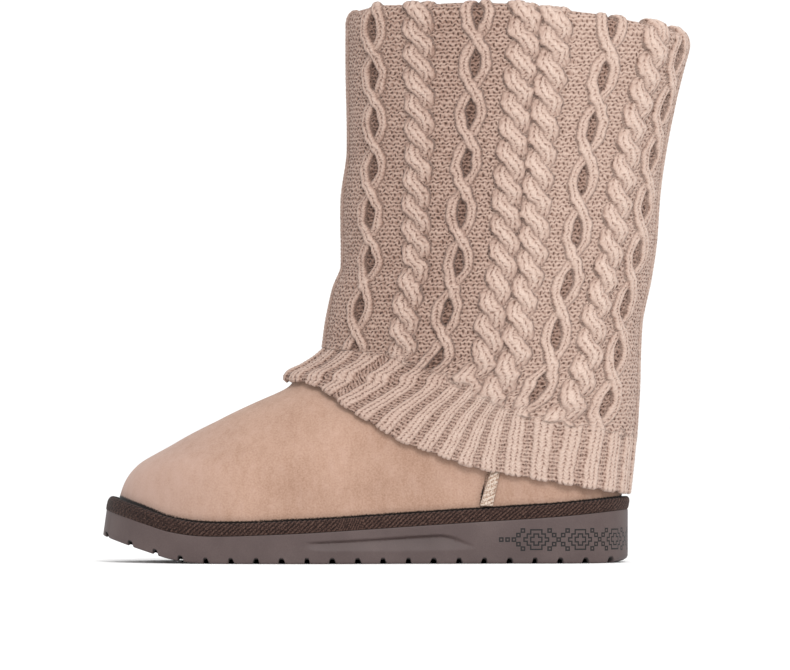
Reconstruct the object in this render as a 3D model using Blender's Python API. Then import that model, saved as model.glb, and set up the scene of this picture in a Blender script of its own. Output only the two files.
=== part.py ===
"""Sweater boot: a suede boot on a moulded sole, with a cable-knit sleeve folded over its collar.

The left boot stands on its sole. Toe at -X, heel at +X, outer side at -Y, +Z up, in metres.
The origin is on the floor, on the lug under the middle of the heel.

The boot grows from two families of curves. The sole's plan gives a half width at each reach,
the distance from the toe tip. The suede shell is a stack of level slices: each has a front end
and a back end on the side view's outline, and bulges between them. Walls, sleeve, welt, insole
and seams are offsets of that shell, so each follows it when a size changes.
"""
import math

import bmesh
import bpy
import numpy as np

# Driving sizes of the sole
SOLE_LENGTH = 0.275
BALL_WIDTH = 0.098
FOREFOOT_THICKNESS = 0.0142
HEEL_THICKNESS = 0.0278
TOE_SPRING = 0.0136
TOE_SWING = 0.004
HEEL_SEAT = 0.0424
GROOVE_PITCH = 0.0132
GROOVE_WIDTH = 0.003
GROOVE_DEPTH = 0.0024
SOLE_EDGE = 0.001
SCOOP_DEPTH = 0.0022
SCOOP_LIP = 0.0008

# Driving sizes of the upper, the welt and the insole
INSTEP_HEIGHT = 0.0952
COLLAR_HEIGHT = 0.2876
COLLAR_DROP = 0.0135
SHAFT_LENGTH = 0.171
SHAFT_WIDTH = 0.0835
BACK_LEAN = 0.0325
SUEDE = 0.0025
WELT_THICKNESS = 0.004
WELT_HEIGHT = 0.0065
WELT_SETBACK = 0.0004
INSOLE_THICKNESS = 0.006
SEAM_LEAN = 0.0055
SEAM_WIDTH = 0.0078
SEAM_TOP_WIDTH = 0.0052
SEAM_THICKNESS = 0.0018
SEAM_TUCK = 0.010

# Driving sizes of the knitted sleeve
HEM_BACK_HEIGHT = 0.0368
KNIT = 0.0033
FOLD_HEIGHT = 0.0053
FLAP_DEPTH = 0.040
CUFF_HEIGHT = 0.029
CUFF_FRONT_HEIGHT = 0.016
RIB_COUNT = 48
RIB_RELIEF = 0.0009
CABLE_RELIEF = 0.0014
CABLE_WIDTH = 0.019

CLEARANCE = 0.0003
SOFT_CLEARANCE = 0.0006

# Waist and heel width as shares of the ball's, and the side seams' place as one of the length
SHARES = {"waist": 0.806, "heel": 0.776, "seam": 0.731}

# Worked out from them
WAIST_WIDTH = SHARES["waist"] * BALL_WIDTH
HEEL_WIDTH = SHARES["heel"] * BALL_WIDTH
SEAM_REACH = SHARES["seam"] * SOLE_LENGTH
TOE_X = HEEL_SEAT - SOLE_LENGTH
LEDGE = WELT_THICKNESS + CLEARANCE + WELT_SETBACK
SHAFT_BACK = SOLE_LENGTH - LEDGE + BACK_LEAN
SHAFT_FRONT = SHAFT_BACK - SHAFT_LENGTH
STANDOFF = SEAM_THICKNESS + 2 * CLEARANCE
COLUMNS = 2 * RIB_COUNT

# Sole plan: reach as a share of the sole's length, width as shares of ball, waist and heel
# width, and the outer side's share of that width
PLAN = {
    "reach": [0.0, 0.18, 0.34, 0.48, 0.62, 0.76, 0.88, 1.0],
    "ball": [0.97, 0.99, 1.0, 0.55, 0.0, 0.0, 0.0, 0.0],
    "waist": [0.0, 0.0, 0.0, 0.45, 1.0, 0.45, 0.0, 0.0],
    "heel": [0.0, 0.0, 0.0, 0.0, 0.0, 0.53, 1.0, 0.97],
    "outer": [0.48, 0.49, 0.515, 0.54, 0.54, 0.515, 0.5, 0.5],
}
SOLE_NOSE = 0.27
SOLE_TAIL = 0.14

# Sole heights: reach, share of the toe spring, share of the rise from forefoot to heel
SOLE_LINE = {
    "reach": [0.0, 0.045, 0.085, 0.13, 0.18, 0.21, 0.36, 0.51, 0.66, 0.85, 1.0],
    "spring": [1.0, 0.69, 0.43, 0.16, 0.02, 0.0, 0.0, 0.0, 0.0, 0.0, 0.0],
    "rise": [0.0, 0.0, 0.0, 0.0, 0.0, 0.0, 0.10, 0.28, 0.48, 0.72, 1.0],
}

# Side scoop at the waist: reach, depth share, and its lower and upper line as thickness shares
SCOOP = {
    "reach": [0.38, 0.42, 0.64, 0.70],
    "depth": [0.0, 1.0, 1.0, 0.0],
    "low": [0.40, 0.40, 0.38, 0.38],
    "high": [0.62, 0.64, 0.68, 0.50],
}

# Shell outline from the side. Rise is 0 at the floor, 1 at the instep and 2 at the collar.
# Foot is a share of the sole's length; lean leads from there to the shaft's front.
FRONT_LINE = {
    "rise": [0.26, 0.40, 0.46, 0.54, 0.65, 0.80, 1.00, 1.02, 1.05, 1.08, 1.16, 1.24, 1.31,
             1.48, 1.63, 1.82, 2.0],
    "foot": [0.023, 0.036, 0.045, 0.068, 0.137, 0.230, 0.361, 0.361, 0.361, 0.361, 0.361,
             0.361, 0.361, 0.361, 0.361, 0.361, 0.361],
    "lean": [0.0, 0.0, 0.0, 0.0, 0.0, 0.0, 0.0, 0.21, 0.47, 0.63, 0.70, 0.79, 0.93, 0.94,
             1.03, 1.02, 1.0],
}
BACK_LINE = {
    "rise": [0.26, 0.40, 0.62, 0.89, 1.15, 1.28, 1.39, 1.52, 1.63, 1.76, 1.85, 1.92, 2.0],
    "lean": [0.0, 0.06, 0.115, 0.165, 0.22, 0.36, 0.46, 0.525, 0.61, 0.77, 0.905, 1.0, 1.03],
}

# Fullness of each slice: length of the rounded front and back as shares of the slice, how far
# the foot's width gives way to the shaft's, and the shaft's own width share
SLICES = {
    "rise": [0.26, 0.50, 0.65, 0.85, 1.00, 1.10, 1.30, 1.60, 2.0],
    "nose": [0.275, 0.33, 0.41, 0.60, 0.70, 0.62, 0.50, 0.50, 0.50],
    "tail": [0.145, 0.17, 0.20, 0.27, 0.34, 0.42, 0.50, 0.50, 0.50],
    "shaft": [0.0, 0.08, 0.25, 0.50, 0.75, 0.92, 1.0, 1.0, 1.0],
    "width": [0.96, 0.96, 0.96, 0.97, 0.98, 0.98, 0.97, 1.0, 1.04],
}

# Hem of the sleeve and collar edge, by position from front (0) to back (1)
HEM_LINE = {
    "along": [0.0, 0.15, 0.30, 0.40, 0.49, 0.59, 0.68, 0.78, 0.90, 1.0],
    "height": [1.0, 0.874, 0.714, 0.595, 0.470, 0.360, 0.245, 0.162, 0.070, 0.0],
}
COLLAR_LINE = {
    "along": [0.0, 0.12, 0.25, 0.48, 0.62, 0.77, 0.88, 1.0],
    "drop": [0.22, 0.03, 0.0, 0.0, 0.25, 0.47, 0.74, 1.0],
}
CUFF_LINE = {
    "along": [0.0, 0.3, 0.5, 1.0],
    "share": [0.0, 0.7, 1.0, 1.0],
}
# Middle of each cable on the outer half, as a share of the way round from the front
CABLES = [0.0, 0.0705, 0.136, 0.198, 0.257, 0.295, 0.352, 0.410, 0.455]

# Welt's section as shares of its thickness and height, from its foot on the sole round its back
WELT_SECTION = [(0.0, 0.0), (1.0, 0.0), (1.0, 0.65), (0.7, 0.96), (0.3, 1.0), (0.0, 0.9)]

# Side seam's section: place across it from the middle, and share of its thickness
SEAM_SECTION = {
    "across": [-1.0, -0.6, 0.0, 0.6, 1.0],
    "back": [0.35, 0.9, 1.0, 0.9, 0.35],
}
SEAM_STEPS = 5
PROBE_TURN = 0.01

# Heights of the shell's rings between welt and hem, and between hem and collar
VAMP_RINGS = [0.16, 0.33, 0.50, 0.67, 0.84]
SHAFT_RINGS = [0.0, 0.05, 0.10, 0.17, 0.28, 0.50]
INNER_VAMP_RINGS = [0.33, 0.67]
INNER_SHAFT_RINGS = [0.0, 0.10, 0.28]

FINISHES = {
    "suede": ((0.60, 0.40, 0.29), 0.95),
    "knit": ((0.58, 0.42, 0.34), 0.95),
    "welt": ((0.05, 0.03, 0.026), 0.85),
    "sole": ((0.13, 0.095, 0.09), 0.65),
    "seam": ((0.75, 0.62, 0.48), 0.8),
    "lining": ((0.55, 0.44, 0.36), 0.98),
}


def smooth(table, column, value):
    """Read a table's column at a value of its first column, by a monotone cubic."""
    keys = np.asarray(table[next(iter(table))], float)
    data = np.asarray(table[column], float)
    step = np.diff(keys)
    slope = np.diff(data) / step
    product = slope[:-1] * slope[1:]
    mean = np.zeros_like(product)
    rising = product > 0
    mean[rising] = 2 * product[rising] / (slope[:-1] + slope[1:])[rising]
    tangent = np.concatenate([slope[:1], mean, slope[-1:]])
    value = np.clip(np.asarray(value, float), keys[0], keys[-1])
    index = np.clip(np.searchsorted(keys, value, side="right") - 1, 0, len(step) - 1)
    t = (value - keys[index]) / step[index]
    low = data[index] * (1 + 2 * t) * (1 - t) ** 2 + tangent[index] * step[index] * t * (1 - t) ** 2
    high = data[index + 1] * t * t * (3 - 2 * t) + tangent[index + 1] * step[index] * t * t * (t - 1)
    return low + high


def arc(share):
    """Height of a quarter circle at a share of its radius, 1 beyond it."""
    inside = 1 - np.clip(share, 0.0, 1.0)
    return np.sqrt(1 - inside * inside)


def along(theta):
    """Position from front (0) to back (1) at an angle round the boot."""
    return (1 - np.cos(theta)) / 2


def outer_side(theta):
    """Whether an angle lies on the outer half, where the boot faces -Y."""
    return np.sin(theta) > 0


def plan_half(reach, outer):
    """Half width of the sole's plan on one side, before its ends are rounded."""
    share = reach / SOLE_LENGTH
    width = BALL_WIDTH * smooth(PLAN, "ball", share)
    width += WAIST_WIDTH * smooth(PLAN, "waist", share)
    width += HEEL_WIDTH * smooth(PLAN, "heel", share)
    part = smooth(PLAN, "outer", share)
    return width * np.where(outer, part, 1 - part)


def centre_line(reach):
    """Sideways place of the boot's spine: the toe swings to the inner side."""
    bend = np.clip(1 - reach / (0.4 * SOLE_LENGTH), 0.0, None)
    return TOE_SWING * bend * bend


def sole_bottom(reach):
    """Height of the sole's underside at a reach."""
    return TOE_SPRING * smooth(SOLE_LINE, "spring", reach / SOLE_LENGTH)


def sole_thickness(reach):
    """Thickness of the sole at a reach."""
    rise = smooth(SOLE_LINE, "rise", reach / SOLE_LENGTH)
    return FOREFOOT_THICKNESS + (HEEL_THICKNESS - FOREFOOT_THICKNESS) * rise


def sole_top(reach):
    """Height of the sole's upper face at a reach."""
    return sole_bottom(reach) + sole_thickness(reach)


def sole_outline(theta, inset):
    """Reach and sideways place of the sole's outline, set in by an inset."""
    share = along(theta)
    outer = outer_side(theta)
    length = SOLE_LENGTH - 2 * inset
    reach = inset + share * length
    half = plan_half(reach, outer) - inset
    bulge = arc(share / SOLE_NOSE) * arc((1 - share) / SOLE_TAIL)
    return reach, centre_line(reach) + np.where(outer, -1, 1) * half * bulge


def rise_at(height):
    """Height as a rise: 0 at the floor, 1 at the instep, 2 at the collar."""
    foot = height / INSTEP_HEIGHT
    shaft = 1 + (height - INSTEP_HEIGHT) / (COLLAR_HEIGHT - INSTEP_HEIGHT)
    return np.where(height < INSTEP_HEIGHT, foot, shaft)


def shell(theta, height):
    """Points of the suede's outer face at angles round the boot and heights above the floor."""
    theta, height = np.broadcast_arrays(theta, height)
    rise = rise_at(height)
    lean = smooth(FRONT_LINE, "lean", rise)
    front = SOLE_LENGTH * smooth(FRONT_LINE, "foot", rise) * (1 - lean) + SHAFT_FRONT * lean
    back = SOLE_LENGTH - LEDGE + BACK_LEAN * smooth(BACK_LINE, "lean", rise)
    share = along(theta)
    outer = outer_side(theta)
    reach = front + share * (back - front)
    weight = smooth(SLICES, "shaft", rise)
    foot_half = plan_half(reach, outer) - LEDGE
    shaft_half = SHAFT_WIDTH / 2 * smooth(SLICES, "width", rise)
    half = foot_half * (1 - weight) + shaft_half * weight
    bulge = arc(share / smooth(SLICES, "nose", rise)) * arc((1 - share) / smooth(SLICES, "tail", rise))
    side = centre_line(reach) + np.where(outer, -1, 1) * half * bulge
    return np.stack([TOE_X + reach, side, height], axis=-1)


def shell_normal(theta, height):
    """Outward unit normals of the shell, from its slopes round and up the boot."""
    turn, climb = 1e-3, 1e-4
    round_slope = shell(theta + turn, height) - shell(theta - turn, height)
    up_slope = shell(theta, height + climb) - shell(theta, height - climb)
    normal = np.cross(round_slope, up_slope)
    return normal / np.linalg.norm(normal, axis=-1, keepdims=True)


def shell_offset(theta, height, distance, lift=0.0):
    """Points at a distance outside the shell, lifted by a height."""
    points = shell(theta, height) + shell_normal(theta, height) * np.asarray(distance)[..., None]
    points[..., 2] += lift
    return points


def even_angles(count):
    """Angles that stand evenly spaced round the middle of the shaft, from the front."""
    dense = np.linspace(0, 2 * math.pi, 2001)
    ring = shell(dense, (INSTEP_HEIGHT + COLLAR_HEIGHT) / 2)
    travel = np.concatenate([[0], np.cumsum(np.linalg.norm(np.diff(ring, axis=0), axis=1))])
    return np.interp(np.arange(count) / count * travel[-1], travel, dense), travel[-1] / count


def welt_line(theta, above):
    """Heights of the ring that runs a given height above the sole's upper face."""
    height = np.full_like(theta, FOREFOOT_THICKNESS + above)
    for _ in range(12):
        reach = shell(theta, height)[..., 0] - TOE_X
        height = sole_top(reach) + above
    return height


def on_sole(points, above):
    """The same points, brought to a height above the sole's upper face under them."""
    points[..., 2] = sole_top(points[..., 0] - TOE_X) + above
    return points


def hem_line(theta):
    """Heights of the sleeve's lower edge."""
    share = smooth(HEM_LINE, "height", along(theta))
    return HEM_BACK_HEIGHT + (INSTEP_HEIGHT - HEM_BACK_HEIGHT) * share


def collar_line(theta):
    """Heights of the suede's upper edge."""
    return COLLAR_HEIGHT - COLLAR_DROP * smooth(COLLAR_LINE, "drop", along(theta))


def cuff_line(theta):
    """Heights of the line where the sleeve's ribs end and its cables begin."""
    share = smooth(CUFF_LINE, "share", along(theta))
    return hem_line(theta) + CUFF_FRONT_HEIGHT + (CUFF_HEIGHT - CUFF_FRONT_HEIGHT) * share


def blend(low, high, share):
    """Value at a share of the way from low to high."""
    return low + (high - low) * share


def finish_object(name, vertices, faces, slot):
    """Make an object from points and faces, with its normals out and its material."""
    mesh = bpy.data.meshes.new(name)
    mesh.from_pydata([tuple(float(c) for c in point) for point in vertices], [], faces)
    body = bmesh.new()
    body.from_mesh(mesh)
    bmesh.ops.triangulate(body, faces=body.faces)
    bmesh.ops.recalc_face_normals(body, faces=body.faces)
    body.to_mesh(mesh)
    body.free()
    mesh.shade_smooth()
    mesh.set_sharp_from_angle(angle=math.radians(40))
    mesh.materials.append(bpy.data.materials[slot])
    made = bpy.data.objects.new(name, mesh)
    bpy.context.scene.collection.objects.link(made)
    return made


def ring_body(name, rings, slot):
    """Close a list of rings, each joined to the next and the last to the first, into one solid."""
    count = len(rings[0])
    faces = []
    for row in range(len(rings)):
        following = (row + 1) % len(rings)
        for column in range(count):
            beside = (column + 1) % count
            faces.append((row * count + column, row * count + beside,
                          following * count + beside, following * count + column))
    return finish_object(name, np.concatenate(rings), faces, slot)


class Stations:
    """Points in pairs, one on the outer and one on the inner side, at stations from toe to heel.

    The first and the last station have one point for both sides, where the outline closes.
    """

    def __init__(self, count):
        self.count = count
        self.points = []
        self.faces = []

    def level(self, outline):
        """Add a level of points; outline gives the points of one side from toe to heel."""
        start = len(self.points)
        outer, inner = outline(True), outline(False)
        self.points.extend(outer)
        self.points.extend(inner[1:-1])
        ends = [start, start + self.count - 1]
        middle = [start + self.count + i for i in range(self.count - 2)]
        return {True: list(range(start, start + self.count)), False: ends[:1] + middle + ends[1:]}

    def quad(self, *corners):
        """Add a face, leaving out a corner that stands twice where sides meet."""
        kept = list(dict.fromkeys(corners))
        if len(kept) > 2:
            self.faces.append(tuple(kept))

    def across(self, level, station):
        """Close a level from side to side, between a station and the next."""
        self.quad(level[True][station], level[True][station + 1],
                  level[False][station + 1], level[False][station])

    def wall(self, low, high, station):
        """Join two levels on both sides, between a station and the next."""
        for side in (True, False):
            self.quad(low[side][station], low[side][station + 1],
                      high[side][station + 1], high[side][station])

    def riser(self, low, high, station):
        """Join two levels across the boot at one station."""
        self.quad(low[True][station], low[False][station], high[False][station], high[True][station])


def groove_places():
    """Middle of each cross groove, as a distance from the origin along X."""
    room = 2 * GROOVE_WIDTH
    first = math.ceil((TOE_X + room) / GROOVE_PITCH - 0.5)
    last = math.floor((HEEL_SEAT - room) / GROOVE_PITCH - 0.5)
    return [(number + 0.5) * GROOVE_PITCH for number in range(first, last + 1)]


def make_outsole():
    """The moulded sole: cross grooves that leave lugs, a rounded edge and a scooped waist."""
    edges = []
    for place in groove_places():
        edges += [place - GROOVE_WIDTH / 2, place + GROOVE_WIDTH / 2]
    shares = [(edge - TOE_X) / SOLE_LENGTH for edge in edges]
    angles = [math.acos(1 - 2 * share) for share in shares]
    toe_angles = list(np.linspace(0, angles[0], 5)[:-1])
    heel_angles = list(np.linspace(angles[-1], math.pi, 6)[1:])
    stations = np.array(toe_angles + angles + heel_angles)
    grooved = [False] * (len(stations) - 1)
    for number in range(0, len(angles), 2):
        grooved[len(toe_angles) + number] = True

    def line(inset_at, height_at):
        def outline(outer):
            theta = stations if outer else 2 * math.pi - stations
            whole, _ = sole_outline(theta, 0.0)
            reach, side = sole_outline(theta, inset_at(whole))
            return list(np.stack([TOE_X + reach, side, height_at(whole)], axis=-1))
        return outline

    def scoop(column):
        return lambda reach: smooth(SCOOP, column, reach / SOLE_LENGTH)

    def part_height(column, lift=0.0):
        return lambda reach: sole_bottom(reach) + sole_thickness(reach) * scoop(column)(reach) + lift

    body = Stations(len(stations))
    levels = [
        body.level(line(lambda reach: SOLE_EDGE + 0 * reach, sole_bottom)),
        body.level(line(lambda reach: 0 * reach, lambda reach: sole_bottom(reach) + GROOVE_DEPTH)),
        body.level(line(lambda reach: 0 * reach, part_height("low"))),
        body.level(line(lambda reach: SCOOP_DEPTH * scoop("depth")(reach), part_height("high"))),
        body.level(line(lambda reach: 0 * reach, part_height("high", SCOOP_LIP))),
        body.level(line(lambda reach: 0 * reach, lambda reach: sole_top(reach) - SOLE_EDGE)),
        body.level(line(lambda reach: SOLE_EDGE / 2 + 0 * reach, sole_top)),
    ]
    for station, is_groove in enumerate(grooved):
        body.across(levels[1] if is_groove else levels[0], station)
        body.across(levels[-1], station)
        first = 1 if is_groove else 0
        for low, high in zip(levels[first:-1], levels[first + 1:]):
            body.wall(low, high, station)
        if station and is_groove != grooved[station - 1]:
            body.riser(levels[0], levels[1], station)
    return finish_object("outsole", body.points, body.faces, "sole")


def make_insole():
    """The footbed: a soft slab that fills the upper from wall to wall, on the sole."""
    half_turn = even_angles(RIB_COUNT)[0][:RIB_COUNT // 2 + 1]
    half_turn[-1] = math.pi

    def line(above, inset):
        def outline(outer):
            theta = half_turn if outer else 2 * math.pi - half_turn
            points = shell_offset(theta, welt_line(theta, above), -inset + 0 * theta)
            return list(on_sole(points, above))
        return outline

    body = Stations(len(half_turn))
    wall = SUEDE + 2 * SOFT_CLEARANCE
    levels = [
        body.level(line(SOFT_CLEARANCE, wall)),
        body.level(line(SOFT_CLEARANCE + 0.7 * INSOLE_THICKNESS, wall)),
        body.level(line(SOFT_CLEARANCE + INSOLE_THICKNESS, wall + 0.3 * INSOLE_THICKNESS)),
    ]
    for station in range(len(half_turn) - 1):
        body.across(levels[0], station)
        body.across(levels[-1], station)
        for low, high in zip(levels, levels[1:]):
            body.wall(low, high, station)
    return finish_object("insole", body.points, body.faces, "lining")


def upper_face(theta, distance, vamp_rings, shaft_rings):
    """Rings of one face of the suede wall, from the sole to the collar."""
    base = welt_line(theta, SOFT_CLEARANCE)
    hem, collar = hem_line(theta), collar_line(theta)
    heights = [base]
    heights += [blend(base, hem, share) for share in vamp_rings]
    heights += [blend(hem, collar, share) for share in shaft_rings]
    heights += [collar - FLAP_DEPTH * share for share in (0.65, 0.0)]
    rings = [shell_offset(theta, height, distance + 0 * theta) for height in heights]
    on_sole(rings[0], SOFT_CLEARANCE)
    return rings


def make_upper():
    """The suede foot and shaft: one wall, open at the collar and under the foot."""
    theta = even_angles(COLUMNS)[0]
    outside = upper_face(theta, 0.0, VAMP_RINGS, SHAFT_RINGS)
    inside = upper_face(theta, -SUEDE, INNER_VAMP_RINGS, INNER_SHAFT_RINGS)
    return ring_body("upper", outside + inside[::-1], "suede")


def make_welt():
    """The wrapped band that covers the joint of upper and sole, round the whole foot."""
    theta = even_angles(COLUMNS)[0]
    rings = []
    for across, up in WELT_SECTION:
        above = SOFT_CLEARANCE + up * WELT_HEIGHT
        distance = CLEARANCE + across * WELT_THICKNESS + 0 * theta
        rings.append(on_sole(shell_offset(theta, welt_line(theta, above), distance), above))
    return ring_body("welt", rings, "welt")


def cable_relief(spacing):
    """Thickness that the cables add to the knitted wall at each column."""
    relief = np.zeros(COLUMNS)
    travel = np.arange(COLUMNS) * spacing
    whole = COLUMNS * spacing
    for place in CABLES + [1 - share for share in CABLES]:
        distance = np.abs(travel - place * whole) / (CABLE_WIDTH / 2)
        relief = np.maximum(relief, CABLE_RELIEF * np.clip(1.3 - distance, 0, 1))
    return relief


def make_sleeve():
    """The sweater: one knitted wall from the ribbed hem, over the collar and down inside."""
    theta, spacing = even_angles(COLUMNS)
    none = 0 * theta
    hem, cuff, collar = hem_line(theta), cuff_line(theta), collar_line(theta)
    ribs = np.where(np.arange(COLUMNS) % 2 == 0, RIB_RELIEF, -RIB_RELIEF)
    cables = cable_relief(spacing)
    outside = STANDOFF + KNIT
    flap_face = SUEDE + SOFT_CLEARANCE
    shoulder = collar - KNIT

    rings = [shell_offset(theta, hem, STANDOFF + none)]
    rings.append(shell_offset(theta, hem, outside - RIB_RELIEF / 2 + ribs))
    for share in (0.08, 0.55, 0.95):
        rings.append(shell_offset(theta, blend(hem, cuff, share), outside + ribs))
    for share in (0.04, 0.16, 0.38, 0.66, 0.92):
        rings.append(shell_offset(theta, blend(cuff, shoulder, share), outside + cables))
    middle = (outside - flap_face - KNIT) / 2
    radius = (outside + flap_face + KNIT) / 2
    rise = FOLD_HEIGHT + SOFT_CLEARANCE + KNIT
    for degrees in (8, 48, 90, 132, 174):
        turn = math.radians(degrees)
        share = 1 - degrees / 180
        out = middle + math.cos(turn) * (radius + cables * 0.6 * share)
        rings.append(shell_offset(theta, shoulder, out, rise * math.sin(turn)))
    rings.append(shell_offset(theta, collar - FLAP_DEPTH, none - flap_face - KNIT))
    for share in (1.0, 0.65):
        rings.append(shell_offset(theta, collar - FLAP_DEPTH * share, none - flap_face))
    rings.append(shell_offset(theta, collar, none - flap_face, SOFT_CLEARANCE))
    rings.append(shell_offset(theta, collar, none + 2 * SOFT_CLEARANCE, SOFT_CLEARANCE))
    for share in (0.97, 0.60, 0.32, 0.16, 0.06):
        rings.append(shell_offset(theta, blend(hem, collar, share), none + STANDOFF))
    return ring_body("knit_sleeve", rings, "knit")


def make_seam(name, outer):
    """A raised, overcast side seam: a band with a round back, from the welt to under the hem."""
    middle = math.acos(1 - 2 * SEAM_REACH / SOLE_LENGTH)
    middle = middle if outer else 2 * math.pi - middle
    start = float(welt_line(np.array([middle]), WELT_HEIGHT + 3 * SOFT_CLEARANCE)[0])
    end = float(hem_line(middle)) + SEAM_TUCK
    across, back = np.array(SEAM_SECTION["across"]), np.array(SEAM_SECTION["back"])
    points, faces = [], []
    for share in np.linspace(0, 1, SEAM_STEPS):
        height = blend(start, end, share)
        width = blend(SEAM_WIDTH, SEAM_TOP_WIDTH, share)
        place = SEAM_REACH + SEAM_LEAN * share
        for _ in range(6):
            low, high = shell(np.array([middle - PROBE_TURN, middle + PROBE_TURN]), height)
            reach = (low[0] + high[0]) / 2 - TOE_X
            middle += float((place - reach) / (high[0] - low[0])) * 2 * PROBE_TURN
        span = width / np.linalg.norm(high - low) * PROBE_TURN
        theta = middle + across * span
        level = np.full(len(across), height)
        points += list(shell_offset(theta, level, CLEARANCE + 0 * theta))
        points += list(shell_offset(theta, level, CLEARANCE + SEAM_THICKNESS * back))[::-1]
    around = 2 * len(across)
    for step in range(SEAM_STEPS - 1):
        for corner in range(around):
            beside = (corner + 1) % around
            faces.append((step * around + corner, step * around + beside,
                          (step + 1) * around + beside, (step + 1) * around + corner))
    faces.append(tuple(range(around)))
    faces.append(tuple(range((SEAM_STEPS - 1) * around, SEAM_STEPS * around)))
    return finish_object(name, points, faces, "seam")


def make_materials():
    """One plain material for each finish."""
    for slot, (colour, roughness) in FINISHES.items():
        material = bpy.data.materials.new(slot)
        material.use_nodes = True
        shader = material.node_tree.nodes["Principled BSDF"]
        shader.inputs["Base Color"].default_value = (*colour, 1.0)
        shader.inputs["Roughness"].default_value = roughness
        shader.inputs["Metallic"].default_value = 0.0


def main():
    """Build the boot from an empty scene."""
    for old in list(bpy.data.objects):
        bpy.data.objects.remove(old, do_unlink=True)
    make_materials()
    make_outsole()
    make_insole()
    make_upper()
    make_welt()
    make_sleeve()
    make_seam("seam_outer", True)
    make_seam("seam_inner", False)


main()
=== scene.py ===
"""Looks of the sweater boot: suede foot, folded cable-knit sleeve, wrapped welt, moulded sole.

Every surface is worked out from the boot's own form, the stack of level slices that the solids
were made from, and stands where its solid stands. A surface is a function of two parameters on
a grid: one runs round the boot from the front, one runs up it or along its section.
"""

import logging
import math
from dataclasses import dataclass, field
from enum import Enum

import bpy
import numpy as np
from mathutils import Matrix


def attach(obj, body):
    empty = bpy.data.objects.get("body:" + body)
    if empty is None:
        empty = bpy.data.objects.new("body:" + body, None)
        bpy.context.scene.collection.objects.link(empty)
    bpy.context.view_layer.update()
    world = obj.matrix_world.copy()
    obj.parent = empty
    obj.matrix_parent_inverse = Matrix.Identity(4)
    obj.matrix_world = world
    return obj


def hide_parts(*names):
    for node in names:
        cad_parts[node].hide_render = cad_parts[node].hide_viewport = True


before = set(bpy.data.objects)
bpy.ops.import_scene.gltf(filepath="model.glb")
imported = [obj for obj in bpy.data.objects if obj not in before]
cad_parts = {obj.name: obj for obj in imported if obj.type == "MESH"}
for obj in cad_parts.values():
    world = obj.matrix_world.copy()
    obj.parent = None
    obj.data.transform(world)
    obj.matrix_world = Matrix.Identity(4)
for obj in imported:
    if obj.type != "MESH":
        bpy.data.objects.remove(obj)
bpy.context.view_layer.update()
log = logging.getLogger("sweater_boot")

Array = np.ndarray
Table = dict[str, list[float]]
Colour = tuple[float, float, float]

MM = 0.001
TURN = 2 * math.pi
STUDIO_LIGHT = 1.55

# Sole plan: reach as a share of the sole's length, width as shares of ball, waist and heel
# width, and the outer side's share of that width
PLAN: Table = {
    "reach": [0.0, 0.18, 0.34, 0.48, 0.62, 0.76, 0.88, 1.0],
    "ball": [0.97, 0.99, 1.0, 0.55, 0.0, 0.0, 0.0, 0.0],
    "waist": [0.0, 0.0, 0.0, 0.45, 1.0, 0.45, 0.0, 0.0],
    "heel": [0.0, 0.0, 0.0, 0.0, 0.0, 0.53, 1.0, 0.97],
    "outer": [0.48, 0.49, 0.515, 0.54, 0.54, 0.515, 0.5, 0.5],
}

# Sole heights: reach, share of the toe spring, share of the rise from forefoot to heel
SOLE_LINE: Table = {
    "reach": [0.0, 0.045, 0.085, 0.13, 0.18, 0.21, 0.36, 0.51, 0.66, 0.85, 1.0],
    "spring": [1.0, 0.69, 0.43, 0.16, 0.02, 0.0, 0.0, 0.0, 0.0, 0.0, 0.0],
    "rise": [0.0, 0.0, 0.0, 0.0, 0.0, 0.0, 0.10, 0.28, 0.48, 0.72, 1.0],
}

# Side scoop at the waist: reach, depth share, and its lower and upper line as thickness shares
SCOOP: Table = {
    "reach": [0.385, 0.42, 0.64, 0.71],
    "depth": [0.0, 0.8, 1.0, 0.0],
    "low": [0.48, 0.42, 0.34, 0.36],
    "high": [0.66, 0.66, 0.70, 0.40],
}

# Shell outline from the side. Rise is 0 at the floor, 1 at the instep and 2 at the collar.
FRONT_LINE: Table = {
    "rise": [0.26, 0.40, 0.46, 0.54, 0.65, 0.80, 1.00, 1.02, 1.05, 1.08, 1.16, 1.24, 1.31,
             1.48, 1.63, 1.82, 2.0],
    "foot": [0.023, 0.036, 0.045, 0.068, 0.137, 0.230, 0.361, 0.361, 0.361, 0.361, 0.361,
             0.361, 0.361, 0.361, 0.361, 0.361, 0.361],
    "lean": [0.0, 0.0, 0.0, 0.0, 0.0, 0.0, 0.0, 0.21, 0.47, 0.63, 0.70, 0.79, 0.93, 0.94,
             1.03, 1.02, 1.0],
}
BACK_LINE: Table = {
    "rise": [0.26, 0.40, 0.62, 0.89, 1.15, 1.28, 1.39, 1.52, 1.63, 1.76, 1.85, 1.92, 2.0],
    "lean": [0.0, 0.06, 0.115, 0.165, 0.22, 0.36, 0.46, 0.525, 0.61, 0.77, 0.905, 1.0, 1.03],
}

# Fullness of each slice: rounded front and back as shares of the slice, how far the foot's
# width gives way to the shaft's, and the shaft's own width share
SLICES: Table = {
    "rise": [0.26, 0.50, 0.65, 0.85, 1.00, 1.10, 1.30, 1.60, 2.0],
    "nose": [0.275, 0.33, 0.41, 0.60, 0.70, 0.62, 0.50, 0.50, 0.50],
    "tail": [0.145, 0.17, 0.20, 0.27, 0.34, 0.42, 0.50, 0.50, 0.50],
    "shaft": [0.0, 0.08, 0.25, 0.50, 0.75, 0.92, 1.0, 1.0, 1.0],
    "width": [0.96, 0.96, 0.96, 0.97, 0.98, 0.98, 0.97, 1.0, 1.04],
}

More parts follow.
